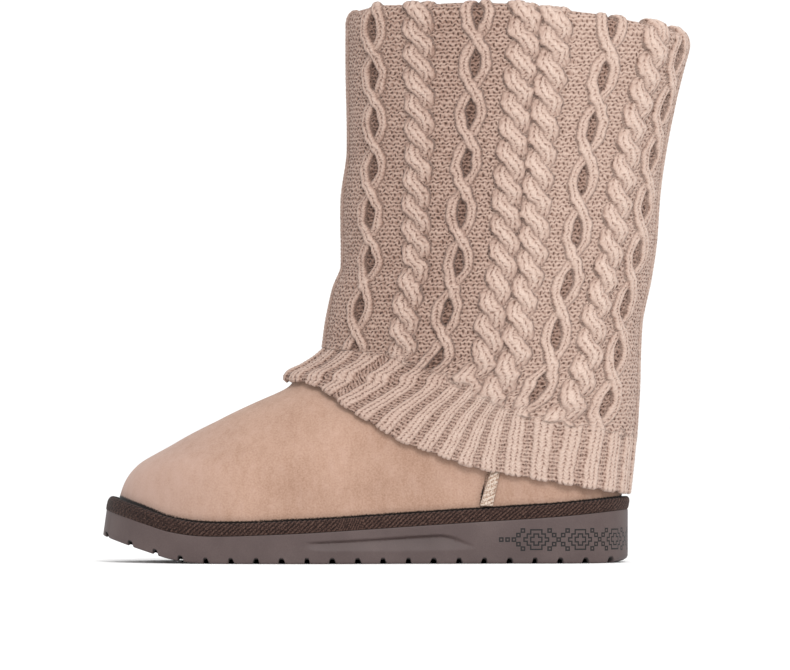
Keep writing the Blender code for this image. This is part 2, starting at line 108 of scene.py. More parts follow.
# Hem of the sleeve, collar edge and cuff line, by position from front (0) to back (1)
HEM_LINE: Table = {
    "along": [0.0, 0.15, 0.30, 0.40, 0.49, 0.59, 0.68, 0.78, 0.90, 1.0],
    "height": [1.0, 0.874, 0.714, 0.595, 0.470, 0.360, 0.245, 0.162, 0.070, 0.0],
}
COLLAR_LINE: Table = {
    "along": [0.0, 0.12, 0.25, 0.48, 0.62, 0.77, 0.88, 1.0],
    "drop": [0.22, 0.03, 0.0, 0.0, 0.25, 0.47, 0.74, 1.0],
}
CUFF_LINE: Table = {
    "along": [0.0, 0.3, 0.5, 1.0],
    "share": [0.0, 0.7, 1.0, 1.0],
}


def smooth(table: Table, column: str, value: Array) -> Array:
    """Read a column of a table by a monotone cubic through its rows.

    Args:
        table: columns of equal length; the first one holds the places of the rows.
        column: name of the column to read.
        value: places to read it at, held at the table's ends.

    Returns:
        The column's value at each place.
    """
    keys = np.asarray(table[next(iter(table))], float)
    data = np.asarray(table[column], float)
    step = np.diff(keys)
    slope = np.diff(data) / step
    product = slope[:-1] * slope[1:]
    mean = np.zeros_like(product)
    rising = product > 0
    mean[rising] = 2 * product[rising] / (slope[:-1] + slope[1:])[rising]
    tangent = np.concatenate([slope[:1], mean, slope[-1:]])
    value = np.clip(np.asarray(value, float), keys[0], keys[-1])
    index = np.clip(np.searchsorted(keys, value, side="right") - 1, 0, len(step) - 1)
    t = (value - keys[index]) / step[index]
    reach = step[index]
    low = data[index] * (1 + 2 * t) * (1 - t) ** 2 + tangent[index] * reach * t * (1 - t) ** 2
    high = data[index + 1] * t * t * (3 - 2 * t) + tangent[index + 1] * reach * t * t * (t - 1)
    return low + high


def arc(share: Array) -> Array:
    """Height of a quarter circle at a share of its radius, 1 beyond it."""
    inside = 1 - np.clip(share, 0.0, 1.0)
    return np.sqrt(1 - inside * inside)


def ease(low: float, high: float, value: Array) -> Array:
    """Soft step: 0 up to low, 1 from high on, and 3t^2 - 2t^3 between them."""
    t = np.clip((value - low) / (high - low), 0.0, 1.0)
    return t * t * (3 - 2 * t)


def blend(low: Array, high: Array, share: Array) -> Array:
    """Value at a share of the way from low to high."""
    return low + (high - low) * share


def ring_travel(ring: Array) -> tuple[Array, float]:
    """Distance along a closed ring to each of its points, and the whole way round."""
    steps = np.linalg.norm(np.roll(ring, -1, axis=0) - ring, axis=1)
    return np.concatenate([[0.0], np.cumsum(steps)[:-1]]), float(steps.sum())


def both_sides(half: Array) -> Array:
    """Angles of the outer side, toe to heel, and their mirror images back to the toe."""
    return np.concatenate([half, TURN - half[-2:0:-1]])


def ripple(across: Array, up: Array, length: float, seed: int) -> Array:
    """Soft unevenness: four crossed sine waves of like length, between about -1 and 1.

    Args:
        across: distance in the first direction.
        up: distance in the second direction.
        length: middle wavelength.
        seed: number that picks the waves' directions and starts.

    Returns:
        The mean of the waves at each place.
    """
    chance = np.random.default_rng(seed)
    total = np.zeros(np.broadcast(across, up).shape)
    for _ in range(4):
        angle = chance.uniform(0, TURN)
        start = chance.uniform(0, TURN)
        turns = TURN / (length * chance.uniform(0.7, 1.4))
        total += np.sin((across * math.cos(angle) + up * math.sin(angle)) * turns + start)
    return total / 2.5


@dataclass(frozen=True)
class BootForm:
    """The boot's form: the sizes of its solids and the two families of curves behind them."""

    sole_length: float = 0.275
    ball_width: float = 0.098
    waist_share: float = 0.806
    heel_share: float = 0.776
    forefoot_thickness: float = 0.0142
    heel_thickness: float = 0.0278
    toe_spring: float = 0.0136
    toe_swing: float = 0.004
    heel_seat: float = 0.0424
    instep_height: float = 0.0952
    collar_height: float = 0.2876
    collar_drop: float = 0.0135
    shaft_length: float = 0.171
    shaft_width: float = 0.0835
    back_lean: float = 0.0325
    suede: float = 0.0025
    welt_thickness: float = 0.004
    welt_height: float = 0.0065
    ledge: float = 0.0047
    seam_thickness: float = 0.0018
    hem_back_height: float = 0.0368
    knit: float = 0.0033
    fold_height: float = 0.0053
    flap_depth: float = 0.040
    cuff_height: float = 0.029
    cuff_front_height: float = 0.016
    clearance: float = 0.0003
    soft_clearance: float = 0.0006
    sole_nose: float = 0.27
    sole_tail: float = 0.14
    seam_reach: float = 0.2005
    seam_lean: float = 0.0072
    seam_foot: float = 0.0301
    toe_swell: float = 0.28
    settle_passes: int = 12

    @property
    def toe_x(self) -> float:
        """Place of the toe tip along X."""
        return self.heel_seat - self.sole_length

    @property
    def standoff(self) -> float:
        """Room between suede and sleeve, where the side seams pass."""
        return self.seam_thickness + 2 * self.clearance

    def plan_half(self, reach: Array, outer: Array) -> Array:
        """Half width of the sole's plan on one side, before its ends are rounded.

        Args:
            reach: distance from the toe tip.
            outer: whether it is the outer side.

        Returns:
            The half width.
        """
        share = reach / self.sole_length
        width = self.ball_width * smooth(PLAN, "ball", share)
        width += self.ball_width * self.waist_share * smooth(PLAN, "waist", share)
        width += self.ball_width * self.heel_share * smooth(PLAN, "heel", share)
        part = smooth(PLAN, "outer", share)
        return width * np.where(outer, part, 1 - part)

    def centre_line(self, reach: Array) -> Array:
        """Sideways place of the middle line, which bends to the inner side as a parabola."""
        bend = np.clip(1 - reach / (0.4 * self.sole_length), 0.0, None)
        return self.toe_swing * bend * bend

    def past_toe(self, reach: Array) -> Array:
        """Soft step from the toe, 0, to the ball of the foot, 1."""
        return ease(0.03, 0.26, reach / self.sole_length)

    def sole_bottom(self, reach: Array) -> Array:
        """Height of the sole's underside."""
        return self.toe_spring * smooth(SOLE_LINE, "spring", reach / self.sole_length)

    def sole_thickness(self, reach: Array) -> Array:
        """Thickness of the sole."""
        rise = smooth(SOLE_LINE, "rise", reach / self.sole_length)
        return self.forefoot_thickness + (self.heel_thickness - self.forefoot_thickness) * rise

    def sole_top(self, reach: Array) -> Array:
        """Height of the sole's upper face."""
        return self.sole_bottom(reach) + self.sole_thickness(reach)

    def sole_outline(self, theta: Array, inset: Array) -> tuple[Array, Array]:
        """Outline of the sole: an ellipse's ends on the plan's half widths.

        Args:
            theta: angle round the boot; 0 is the toe, up to pi the outer side.
            inset: distance inside the true outline.

        Returns:
            Reach from the toe tip, and place along Y.
        """
        share = (1 - np.cos(theta)) / 2
        outer = np.sin(theta) > 0
        reach = inset + share * (self.sole_length - 2 * inset)
        half = self.plan_half(reach, outer) - inset
        bulge = arc(share / self.sole_nose) * arc((1 - share) / self.sole_tail)
        return reach, self.centre_line(reach) + np.where(outer, -1, 1) * half * bulge

    def shell(self, theta: Array, height: Array) -> Array:
        """Outer face of the suede: level slices between the side view's front and back line.

        Args:
            theta: angle round the boot.
            height: height above the floor.

        Returns:
            Points, with X, Y and Z last.
        """
        theta, height = np.broadcast_arrays(theta, height)
        foot_rise = height / self.instep_height
        shaft_rise = 1 + (height - self.instep_height) / (self.collar_height - self.instep_height)
        rise = np.where(height < self.instep_height, foot_rise, shaft_rise)
        lean = smooth(FRONT_LINE, "lean", rise)
        shaft_back = self.sole_length - self.ledge + self.back_lean
        front = self.sole_length * smooth(FRONT_LINE, "foot", rise) * (1 - lean)
        front += (shaft_back - self.shaft_length) * lean
        back = shaft_back - self.back_lean * (1 - smooth(BACK_LINE, "lean", rise))
        share = (1 - np.cos(theta)) / 2
        outer = np.sin(theta) > 0
        reach = front + share * (back - front)
        weight = smooth(SLICES, "shaft", rise)
        foot_half = self.plan_half(reach, outer) - self.ledge
        shaft_half = self.shaft_width / 2 * smooth(SLICES, "width", rise)
        half = foot_half * (1 - weight) + shaft_half * weight
        bulge = arc(share / smooth(SLICES, "nose", rise))
        bulge = bulge * arc((1 - share) / smooth(SLICES, "tail", rise))
        side = self.centre_line(reach) + np.where(outer, -1, 1) * half * bulge
        return np.stack([self.toe_x + reach, side, height], axis=-1)

    def shell_normal(self, theta: Array, height: Array) -> Array:
        """Outward unit normals of the shell: the cross product of its two slopes.

        Args:
            theta: angle round the boot.
            height: height above the floor.

        Returns:
            A unit vector for each point, along the last axis.
        """
        turn, climb = 1e-3, 1e-4
        round_slope = self.shell(theta + turn, height) - self.shell(theta - turn, height)
        up_slope = self.shell(theta, height + climb) - self.shell(theta, height - climb)
        normal = np.cross(round_slope, up_slope)
        return normal / np.linalg.norm(normal, axis=-1, keepdims=True)

    def offset(self, theta: Array, height: Array, distance: Array, lift: Array = 0.0) -> Array:
        """Points at a distance outside the shell along its normal, lifted by a height.

        Args:
            theta: angle round the boot.
            height: height above the floor.
            distance: distance outside the shell, less than 0 inside it.
            lift: height to add.

        Returns:
            Points, with X, Y and Z last.
        """
        theta, height, distance = np.broadcast_arrays(theta, height, distance)
        points = self.shell(theta, height) + self.shell_normal(theta, height) * distance[..., None]
        points[..., 2] += lift
        return points

    def even_angles(self, count: int) -> Array:
        """Angles that stand evenly spaced round the middle of the shaft, from the front.

        Args:
            count: how many.

        Returns:
            The angles, from 0 to under a whole turn.
        """
        dense = np.linspace(0, TURN, 2001)
        ring = self.shell(dense, (self.instep_height + self.collar_height) / 2)
        steps = np.linalg.norm(np.diff(ring, axis=0), axis=1)
        travel = np.concatenate([[0], np.cumsum(steps)])
        return np.interp(np.arange(count) / count * travel[-1], travel, dense)

    def sole_heights(self, theta: Array, above: Array) -> Array:
        """Heights of the shell's points that stand a given height above the sole's top.

        Args:
            theta: angle round the boot.
            above: height above the sole's top.

        Returns:
            Heights above the floor, found by repeated reading of the sole's top.
        """
        height = np.full(np.broadcast(theta, above).shape, self.forefoot_thickness) + above
        for _ in range(self.settle_passes):
            reach = self.shell(theta, height)[..., 0] - self.toe_x
            height = self.sole_top(reach) + above
        return height

    def hem(self, theta: Array) -> Array:
        """Heights of the sleeve's lower edge."""
        share = smooth(HEM_LINE, "height", (1 - np.cos(theta)) / 2)
        return self.hem_back_height + (self.instep_height - self.hem_back_height) * share

    def collar(self, theta: Array) -> Array:
        """Heights of the suede's upper edge."""
        return self.collar_height - self.collar_drop * smooth(
            COLLAR_LINE, "drop", (1 - np.cos(theta)) / 2)

    def cuff(self, theta: Array) -> Array:
        """Heights of the line where the sleeve's ribs give way to its cables."""
        share = smooth(CUFF_LINE, "share", (1 - np.cos(theta)) / 2)
        return self.hem(theta) + blend(self.cuff_front_height, self.cuff_height, share)


@dataclass
class Surface:
    """A grid of points, rows by columns by X, Y and Z, with marks for its material.

    The columns close round the boot when wrap is set, and the rows when wrap_rows is.
    """

    points: Array
    marks: dict[str, Array] = field(default_factory=dict)
    wrap: bool = True
    wrap_rows: bool = False

    def normals(self) -> Array:
        """Unit normals: columns' slope crossed with rows' slope, each by neighbours' difference.

        Returns:
            A unit vector for each point.
        """
        if self.wrap:
            beside = np.roll(self.points, -1, axis=1) - np.roll(self.points, 1, axis=1)
        else:
            beside = np.gradient(self.points, axis=1)
        if self.wrap_rows:
            above = np.roll(self.points, -1, axis=0) - np.roll(self.points, 1, axis=0)
        else:
            above = np.gradient(self.points, axis=0)
        normal = np.cross(beside, above)
        size = np.linalg.norm(normal, axis=-1, keepdims=True)
        return normal / np.maximum(size, 1e-12)

    def raised(self, relief: Array) -> "Surface":
        """The same grid with each point moved along its normal by a relief."""
        points = self.points + self.normals() * relief[..., None]
        return Surface(points, self.marks, self.wrap, self.wrap_rows)

    def part(self, rows: slice, columns: Array) -> "Surface":
        """Rows and columns of the grid as an open surface of their own."""
        marks = {name: mark[rows][:, columns] for name, mark in self.marks.items()}
        return Surface(self.points[rows][:, columns], marks, wrap=False)

    def quads(self) -> Array:
        """Corner indices of the faces, in the order that points them outwards.

        Returns:
            Four point numbers for each face.
        """
        rows, columns = self.points.shape[:2]
        index = np.arange(rows * columns).reshape(rows, columns)
        if self.wrap:
            index = np.concatenate([index, index[:, :1]], axis=1)
        if self.wrap_rows:
            index = np.concatenate([index, index[:1]], axis=0)
        corners = [index[:-1, :-1], index[:-1, 1:], index[1:, 1:], index[1:, :-1]]
        return np.stack(corners, axis=-1).reshape(-1, 4)

    def piece(self, name: str, normals: Array | None = None,
              faces: list[tuple[int, ...]] | None = None) -> bpy.types.Object:
        """Put the surface into a mesh object at the origin.

        Args:
            name: name of the piece.
            normals: normals to shade it with, or None to leave them to the mesh.
            faces: further faces by point number, such as those that close an end.

        Returns:
            The new object, linked to the scene.
        """
        mesh = bpy.data.meshes.new(name)
        corners = self.quads()
        flat = self.points.reshape(-1, 3)
        if faces:
            mesh.from_pydata(flat.tolist(), [], corners.tolist() + [list(face) for face in faces])
        else:
            mesh.vertices.add(len(flat))
            mesh.vertices.foreach_set("co", flat.astype(np.float32).ravel())
            mesh.loops.add(corners.size)
            mesh.loops.foreach_set("vertex_index", corners.astype(np.int32).ravel())
            mesh.polygons.add(len(corners))
            mesh.polygons.foreach_set("loop_start", np.arange(0, corners.size, 4, dtype=np.int32))
        mesh.update(calc_edges=True)
        mesh.shade_smooth()
        for mark, values in self.marks.items():
            wide = values.ndim == 3
            layer = mesh.attributes.new(mark, "FLOAT_VECTOR" if wide else "FLOAT", "POINT")
            layer.data.foreach_set("vector" if wide else "value",
                                   values.astype(np.float32).ravel())
        if normals is not None:
            mesh.normals_split_custom_set_from_vertices(normals.reshape(-1, 3).tolist())
        made = bpy.data.objects.new(name, mesh)
        bpy.context.scene.collection.objects.link(made)
        return made


def across_faces(start: int, count: int, up: bool) -> list[tuple[int, ...]]:
    """Faces that close a ring of points from side to side, station by station.

    Args:
        start: number of the ring's first point, at the toe.
        count: points in the ring, an even number; point k and point count - k are a pair.
        up: whether the faces look up, or else down.

    Returns:
        Faces by point number: a triangle at each end and quads between them.
    """
    faces = []
    for near in range(count // 2):
        far = near + 1
        ring = [near, far, count - far, (count - near) % count]
        kept = list(dict.fromkeys(start + number for number in ring))
        faces.append(tuple(kept if up else kept[::-1]))
    return faces


class Value:
    """A number that varies over a surface: an output socket with arithmetic."""

    def __init__(self, shade: "Shade", socket: bpy.types.NodeSocket) -> None:
        """Keep the material's writer and the socket."""
        self.shade = shade
        self.socket = socket

    def _math(self, operation: str, *terms: "Value | float") -> "Value":
        """Add a Math node for an operation on its terms."""
        return self.shade.node("ShaderNodeMath", {"operation": operation}, dict(enumerate(terms)))

    def __add__(self, other: "Value | float") -> "Value":
        """Sum."""
        return self._math("ADD", self, other)

    __radd__ = __add__

    def __sub__(self, other: "Value | float") -> "Value":
        """Difference."""
        return self._math("SUBTRACT", self, other)

    def __rsub__(self, other: "Value | float") -> "Value":
        """Difference from a number."""
        return self._math("SUBTRACT", other, self)

    def __mul__(self, other: "Value | float") -> "Value":
        """Product."""
        return self._math("MULTIPLY", self, other)

    __rmul__ = __mul__

    def __pow__(self, other: "Value | float") -> "Value":
        """Power."""
        return self._math("POWER", self, other)

    def sine(self) -> "Value":
        """Sine of whole turns: the value 1 is one turn."""
        return self._math("SINE", self * TURN)

    def cosine(self) -> "Value":
        """Cosine of whole turns."""
        return self._math("COSINE", self * TURN)

    def fraction(self) -> "Value":
        """Part after the whole number."""
        return self._math("FRACT", self)

    def magnitude(self) -> "Value":
        """Value without its sign."""
        return self._math("ABSOLUTE", self)

    def whole(self) -> "Value":
        """Nearest whole number."""
        return self._math("ROUND", self)

    def larger(self, other: "Value | float") -> "Value":
        """Larger of two values."""
        return self._math("MAXIMUM", self, other)

    def smaller(self, other: "Value | float") -> "Value":
        """Smaller of two values."""
        return self._math("MINIMUM", self, other)

    def below(self, limit: "Value | float") -> "Value":
        """1 where the value is below a limit, or else 0."""
        return self._math("LESS_THAN", self, limit)

    def between(self, low: float, high: float) -> "Value":
        """Share of the way from low to high, held from 0 to 1."""
        sockets = {0: self, 1: low, 2: high}
        return self.shade.node("ShaderNodeMapRange", {"clamp": True}, sockets)


class Shade:
    """Writer of one material: a Principled shader and the nodes that feed it."""

    def __init__(self, name: str, roughness: float, sheen: float = 0.0, gloss: float = 0.2) -> None:
        """Start a material with its constant roughness, sheen and mirror gloss.

        Args:
            name: name of the material.
            roughness: roughness all over.
            sheen: weight of the sheen.
            gloss: level of the mirror gloss.
        """
        self.material = bpy.data.materials.new(name)
        self.material.use_nodes = True
        self.tree = self.material.node_tree
        self.shader = self.tree.nodes["Principled BSDF"]
        self.shader.inputs["Roughness"].default_value = roughness
        self.shader.inputs["Sheen Weight"].default_value = sheen
        self.shader.inputs["Sheen Roughness"].default_value = 0.6
        self.shader.inputs["Specular IOR Level"].default_value = gloss
        self.place = self.node("ShaderNodeTexCoord", {}, {}, "Object")

    def node(self, kind: str, settings: dict, sockets: dict, output: str | int = 0) -> Value:
        """Add a node.

        Args:
            kind: type of the node.
            settings: its own settings, set first; stops are those of a colour ramp.
            sockets: input sockets by name or number, with a Value, number or colour each.
            output: output socket to hand back.

        Returns:
            The output socket as a Value.
        """
        made = self.tree.nodes.new(kind)
        for name, setting in settings.items():
            if name == "stops":
                self._stops(made.color_ramp, setting)
            else:
                setattr(made, name, setting)
        for name, value in sockets.items():
            if isinstance(value, Value):
                self.tree.links.new(value.socket, made.inputs[name])
            elif value is not None:
                made.inputs[name].default_value = value
        return Value(self, made.outputs[output])

    @staticmethod
    def _stops(ramp: bpy.types.ColorRamp, stops: list[tuple[float, Colour]]) -> None:
        """Set the stops of a colour ramp.

        Args:
            ramp: the ramp.
            stops: place and colour of each stop.
        """
        while len(ramp.elements) < len(stops):
            ramp.elements.new(0.5)
        for element, (place, colour) in zip(ramp.elements, stops):
            element.position = place
            element.color = (*colour, 1.0)

    def ramp(self, level: Value, stops: list[tuple[float, Colour]]) -> Value:
        """Colour of a ramp at a level; each stop is a place and a colour."""
        return self.node("ShaderNodeValToRGB", {"stops": stops}, {0: level}, "Color")

    def mark(self, name: str, output: str = "Fac") -> Value:
        """Read a mark of the surface."""
        return self.node("ShaderNodeAttribute", {"attribute_name": name}, {}, output)

    def part(self, vector: Value, axis: str) -> Value:
        """X, Y or Z of a vector."""
        return self.node("ShaderNodeSeparateXYZ", {}, {0: vector}, axis)

    def noise(self, size: float, detail: float = 2.0, stretch: tuple = (1.0, 1.0, 1.0)) -> Value:
        """Soft noise whose grains are about a size across, in metres, from 0 to 1.

        Args:
            size: width of a grain.
            detail: how many finer layers it has.
            stretch: scale along X, Y and Z.

        Returns:
            The noise.
        """
        scale = {"Vector": self.place, "Scale": stretch}
        place = self.node("ShaderNodeMapping", {}, scale, "Vector")
        sockets = {"Vector": place, "Scale": 1.0 / size, "Detail": detail}
        return self.node("ShaderNodeTexNoise", {}, sockets, "Fac")

    def mix(self, share: Value, low: "Value | Colour", high: "Value | Colour") -> Value:
        """Mix two colours by a share.

        Args:
            share: share of the second colour.
            low: colour at 0.
            high: colour at 1.

        Returns:
            The mixed colour.
        """
        low = low if isinstance(low, Value) else (*low, 1.0)
        high = high if isinstance(high, Value) else (*high, 1.0)
        sockets = {0: share, 6: low, 7: high}
        return self.node("ShaderNodeMix", {"data_type": "RGBA"}, sockets, 2)

    def finish(self, colour: Value, height: Value, depth: float, strength: float,
               roughness: Value | None = None) -> bpy.types.Material:
        """Feed the shader and hand the material back.

        Args:
            colour: base colour.
            height: relief from 0 to 1.
            depth: how deep a relief of 1 is, in metres.
            strength: share of the bump that shows.
            roughness: roughness where it varies.

        Returns:
            The material.
        """
        sockets = {"Height": height, "Distance": depth, "Strength": strength}
        normal = self.node("ShaderNodeBump", {}, sockets, "Normal")
        self.tree.links.new(colour.socket, self.shader.inputs["Base Color"])
        self.tree.links.new(normal.socket, self.shader.inputs["Normal"])
        if roughness is not None:
            self.tree.links.new(roughness.socket, self.shader.inputs["Roughness"])
        return self.material


def tint(red: int, green: int, blue: int) -> Colour:
    """Colour that the studio's light shows as a screen's red, green and blue from 0 to 255.

    Args:
        red: level of red.
        green: level of green.
        blue: level of blue.

    Returns:
        The colour for a material.
    """
    def channel(level: int) -> float:
        """Undo the screen's curve and the studio's brightness for one channel.

        Args:
            level: level from 0 to 255.

        Returns:
            The channel for a material.
        """
        share = level / 255
        linear = share / 12.92 if share <= 0.04045 else ((share + 0.055) / 1.055) ** 2.4
        return linear / STUDIO_LIGHT
    return channel(red), channel(green), channel(blue)


# Depths of the stitches as shares of their relief. Plain: the gap between wales, the dots in
# it, the gap between stitches, and how far a stitch climbs from its middle in rows. Purl: the
# gap between rows, the pits, and the gap's wave in rows.
WALE_GAP, DOT, STITCH_GAP, CLIMB = 0.35, 0.45, 0.2, 0.75
ROW_GAP, PIT, WAVE = 0.38, 0.62, 0.12


def plain_relief(wale: Array, row: Array) -> Array:
    """Relief of plain knitting, from 0 to 1: wales of slanted stitches with narrow gaps.

    The third power of the distance from a wale's middle cuts the gap between wales. A wave of
    one stitch a row, which climbs with that distance, deepens it to dots and its square cuts
    the gaps between stitches, so that they stand in Vs.

    Args:
        wale: wales passed, with their fraction.
        row: rows passed, with their fraction.

    Returns:
        The relief.
    """
    across = np.abs(np.mod(wale, 1.0) - 0.5) * 2
    gap = 0.5 - 0.5 * np.cos(TURN * (row - CLIMB * across))
    return 1 - (WALE_GAP + DOT * gap) * across ** 3 - STITCH_GAP * gap * gap


def purl_relief(wale: Array, row: Array) -> Array:
    """Relief of purl ground, from 0 to 1: a wavy gap a row, and deep pits.

    The pits are the peaks of the product of a wave a wale and a wave every two rows, which
    stand staggered from row to row.

    Args:
        wale: wales passed, with their fraction.
        row: rows passed, with their fraction.

    Returns:
        The relief.
    """
    gap = 0.5 + 0.5 * np.cos(TURN * (row + WAVE * np.sin(TURN * wale)))
    pit = np.clip(np.cos(TURN * wale) * np.cos(TURN / 2 * row), 0.0, 1.0)
    return 1 - ROW_GAP * gap - PIT * pit ** 1.5


@dataclass(frozen=True)
class KnitFinish:
    """Pink-beige yarn: stitches by the surface's own wales and rows, soft and matt."""

    light: Colour = tint(230, 205, 190)
    middle: Colour = tint(201, 172, 157)
    dim: Colour = tint(148, 116, 101)
    dark: Colour = tint(82, 56, 45)

    def make(self) -> bpy.types.Material:
        """Write the material: the mark yarn holds wale, row and 1 on knit; shade holds painted
        shade, which follows the cloth's height.

        Returns:
            The material.
        """
        shade = Shade("knit_yarn", 0.92, 0.12)
        yarn = shade.mark("yarn", "Vector")
        wale, row, knit = [shade.part(yarn, axis) for axis in "XYZ"]
        loop = shade.noise(2.4 * MM, 1.0) - 0.5
        jog = shade.noise(3.1 * MM, 1.0) - 0.5
        wale, row = wale + jog * 0.8, row + loop * 1.2
        across = (wale.fraction() - 0.5).magnitude() * 2.0
        gap = 0.5 - 0.5 * (row - across * CLIMB).cosine()
        plain = 1.0 - (WALE_GAP + DOT * gap) * across ** 3.0 - STITCH_GAP * gap * gap
        gap = 0.5 + 0.5 * (row + WAVE * wale.sine()).cosine()
        pit = (wale.cosine() * (row * 0.5).cosine()).larger(0.0)
        ground = 1.0 - ROW_GAP * gap - PIT * pit ** 1.5
        stitch = plain * knit + ground * (1.0 - knit)
        fibre = shade.noise(0.8 * MM, 3.0) - 0.5
        patch = shade.noise(11 * MM, 2.0) - 0.5
        # The level paints shade: the shade mark, and darker gaps and pits between stitches; the
        # noises add random tone
        level = shade.mark("shade") * 0.56 + stitch * 0.60
        level = level + patch * 0.14 + jog * 0.26 + fibre * 0.30
        stops = [(0.04, self.dark), (0.28, self.dim), (0.60, self.middle), (0.95, self.light)]
        colour = shade.ramp(level, stops)
        return shade.finish(colour, stitch * 0.8 + fibre * 0.3, 0.9 * MM, 0.6)


@dataclass(frozen=True)
class SuedeFinish:
    """Brushed suede: fine nap, soft cloudy patches, a pinker toe, and a dark line of painted shade
    along joints with a softer painted shadow beside it.
    """

    light: Colour = tint(203, 167, 147)
    middle: Colour = tint(190, 154, 133)
    dark: Colour = tint(174, 137, 116)
    bloom: Colour = tint(197, 167, 155)
    # Near-black colour of the painted shade in the gap at each joint
    joint: Colour = tint(22, 8, 4)
    toe_x: float = -0.232

    def make(self) -> bpy.types.Material:
        """Write the material: the mark joint is the distance to the nearest joint in metres.

        Returns:
            The material.
        """
        shade = Shade("brushed_suede", 0.96, 0.12)
        cloud = shade.noise(24 * MM, 3.0) - 0.5
        brush = shade.noise(4 * MM, 4.0, (1.0, 1.0, 0.35)) - 0.5
        nap = shade.noise(0.9 * MM, 4.0) - 0.5
        level = 0.5 + cloud * 0.7 + brush * 0.6 + nap * 1.1
        stops = [(0.15, self.dark), (0.5, self.middle), (0.85, self.light)]
        colour = shade.ramp(level, stops)
        toe = 1.0 - shade.part(shade.place, "X").between(self.toe_x, self.toe_x + 0.075)
        colour = shade.mix((toe * 0.75 + brush * 0.5).larger(0.0).smaller(1.0), colour, self.bloom)
        # Painted shade along each joint: a soft shadow band out to 4 mm, and a near-black line in
        # the gap within about 1 mm
        near = shade.mark("joint") + nap * (1.2 * MM)
        shadow = 1.0 - near.between(0.0, 4 * MM) ** 0.5
        colour = shade.mix(shadow * 0.3, colour, self.joint)
        colour = shade.mix(1.0 - near.between(0.35 * MM, 0.95 * MM), colour, self.joint)
        return shade.finish(colour, nap * 0.7 + brush * 0.3, 0.25 * MM, 0.35)


@dataclass(frozen=True)
class WeltFinish:
    """Dark twill wrap: the mark shade is painted shade, 1 on a cord's back, 0 between cords and
    below 0 on the inner crown.
    """

    light: Colour = tint(100, 76, 67)
    middle: Colour = tint(59, 41, 36)
    dark: Colour = tint(19, 11, 10)

    def make(self) -> bpy.types.Material:
        """Write the material.

        Returns:
            The material.
        """
        shade = Shade("twill_wrap", 0.85, 0.05, 0.1)
        thread = shade.noise(0.7 * MM, 3.0) - 0.5
        level = shade.mark("shade") * 0.60 + thread * 1.9 + 0.14
        stops = [(0.1, self.dark), (0.55, self.middle), (0.95, self.light)]
        colour = shade.ramp(level, stops)
        return shade.finish(colour, thread, 0.2 * MM, 0.5)


@dataclass(frozen=True)
class SoleFinish:
    """Moulded foam rubber with a band of stepped frames and small squares cut in at the heel.

    Lengths are along the wall from the middle of the heel. A frame stands at each whole pitch,
    and an X of squares midway between frames.
    """

    light: Colour = tint(107, 91, 88)
    middle: Colour = tint(91, 75, 73)
    dark: Colour = tint(77, 61, 59)
    # Near-black colour of the painted shade inside the grooves and the cut lines
    groove: Colour = tint(14, 7, 7)
    pitch: float = 0.0233
    frames: int = 3
    band_height: float = 0.0125
    line: float = 0.00076
    frame_steps: tuple = ((0.0029, 0.0051), (0.0047, 0.0029), (0.0064, 0.0009))
    plus_steps: tuple = ((0.0012, 0.0029), (0.0029, 0.0012))
    square: float = 0.00086
    step: float = 0.00235
    run_step: float = 0.0033

    def box(self, east: Value, north: Value, half: tuple[float, float]) -> Value:
        """Distance outside the edge of a box round a middle, less than 0 inside."""
        return (east.magnitude() - half[0]).larger(north.magnitude() - half[1])

    def stepped(self, east: Value, north: Value, steps: tuple) -> Value:
        """Distance outside the joined outline of some boxes round one middle.

        Args:
            east: distance from the middle along the wall.
            north: distance above the middle.
            steps: half width and half height of each box.

        Returns:
            The distance, less than 0 inside.
        """
        edge = self.box(east, north, steps[0])
        for half in steps[1:]:
            edge = edge.smaller(self.box(east, north, half))
        return edge

    def band(self, along: Value, north: Value) -> Value:
        """1 on the cut lines of the heel's band, or else 0.

        Args:
            along: distance along the wall from the heel's middle.
            north: height above the middle of the band.

        Returns:
            The mark.
        """
        half = (self.square, self.square)
        tip = self.pitch * (self.frames + 0.5)
        turn = along * (1 / self.pitch)
        local = (turn + 0.5).fraction() * self.pitch - self.pitch / 2
        gap = (turn.fraction() * self.pitch - self.pitch / 2).magnitude()
        frame_edge = self.stepped(local, north, self.frame_steps)
        plus_edge = self.stepped(local, north, self.plus_steps)
        rise = north.magnitude()
        place = ((gap + rise) * (0.5 / self.step)).whole().smaller(2.0) * self.step
        cross_edge = self.box(gap - place, rise - place, half)
        ahead = along - tip
        number = (ahead * (1 / self.run_step)).whole().larger(0.0).smaller(2.0)
        run_edge = self.box(ahead - number * self.run_step, north, half)
        marks = [edge.magnitude().below(self.line / 2) * along.below(tip)
                 for edge in (frame_edge, plus_edge)]
        marks.append(cross_edge.magnitude().below(self.line / 2) * along.below(tip + self.square))
        marks.append(run_edge.magnitude().below(self.line / 2))
        whole = marks[0]
        for mark in marks[1:]:
            whole = whole.larger(mark)
        return whole

    def make(self) -> bpy.types.Material:
        """Write the material: heel is the way from the heel's middle; groove is 1 in a groove,
        painted near black as shade.

        Returns:
            The material.
        """
        shade = Shade("foam_rubber", 0.6, 0.0, 0.35)
        cloud = shade.noise(22 * MM, 4.0) - 0.5
        grain = shade.noise(0.6 * MM, 3.0) - 0.5
        level = 0.5 + cloud * 0.8 + grain * 0.5
        stops = [(0.15, self.dark), (0.5, self.middle), (0.85, self.light)]
        colour = shade.ramp(level, stops)
        north = shade.part(shade.place, "Z") - self.band_height
        cut = self.band(shade.mark("heel"), north)
        # Painted shade: the grooves and the heel band's cut lines are coloured near black
        colour = shade.mix(cut.larger(shade.mark("groove")), colour, self.groove)
        height = grain * 0.25 + cloud * 0.2 - cut * 0.4
        return shade.finish(colour, height, 0.4 * MM, 0.5, 0.58 + grain * 0.2)


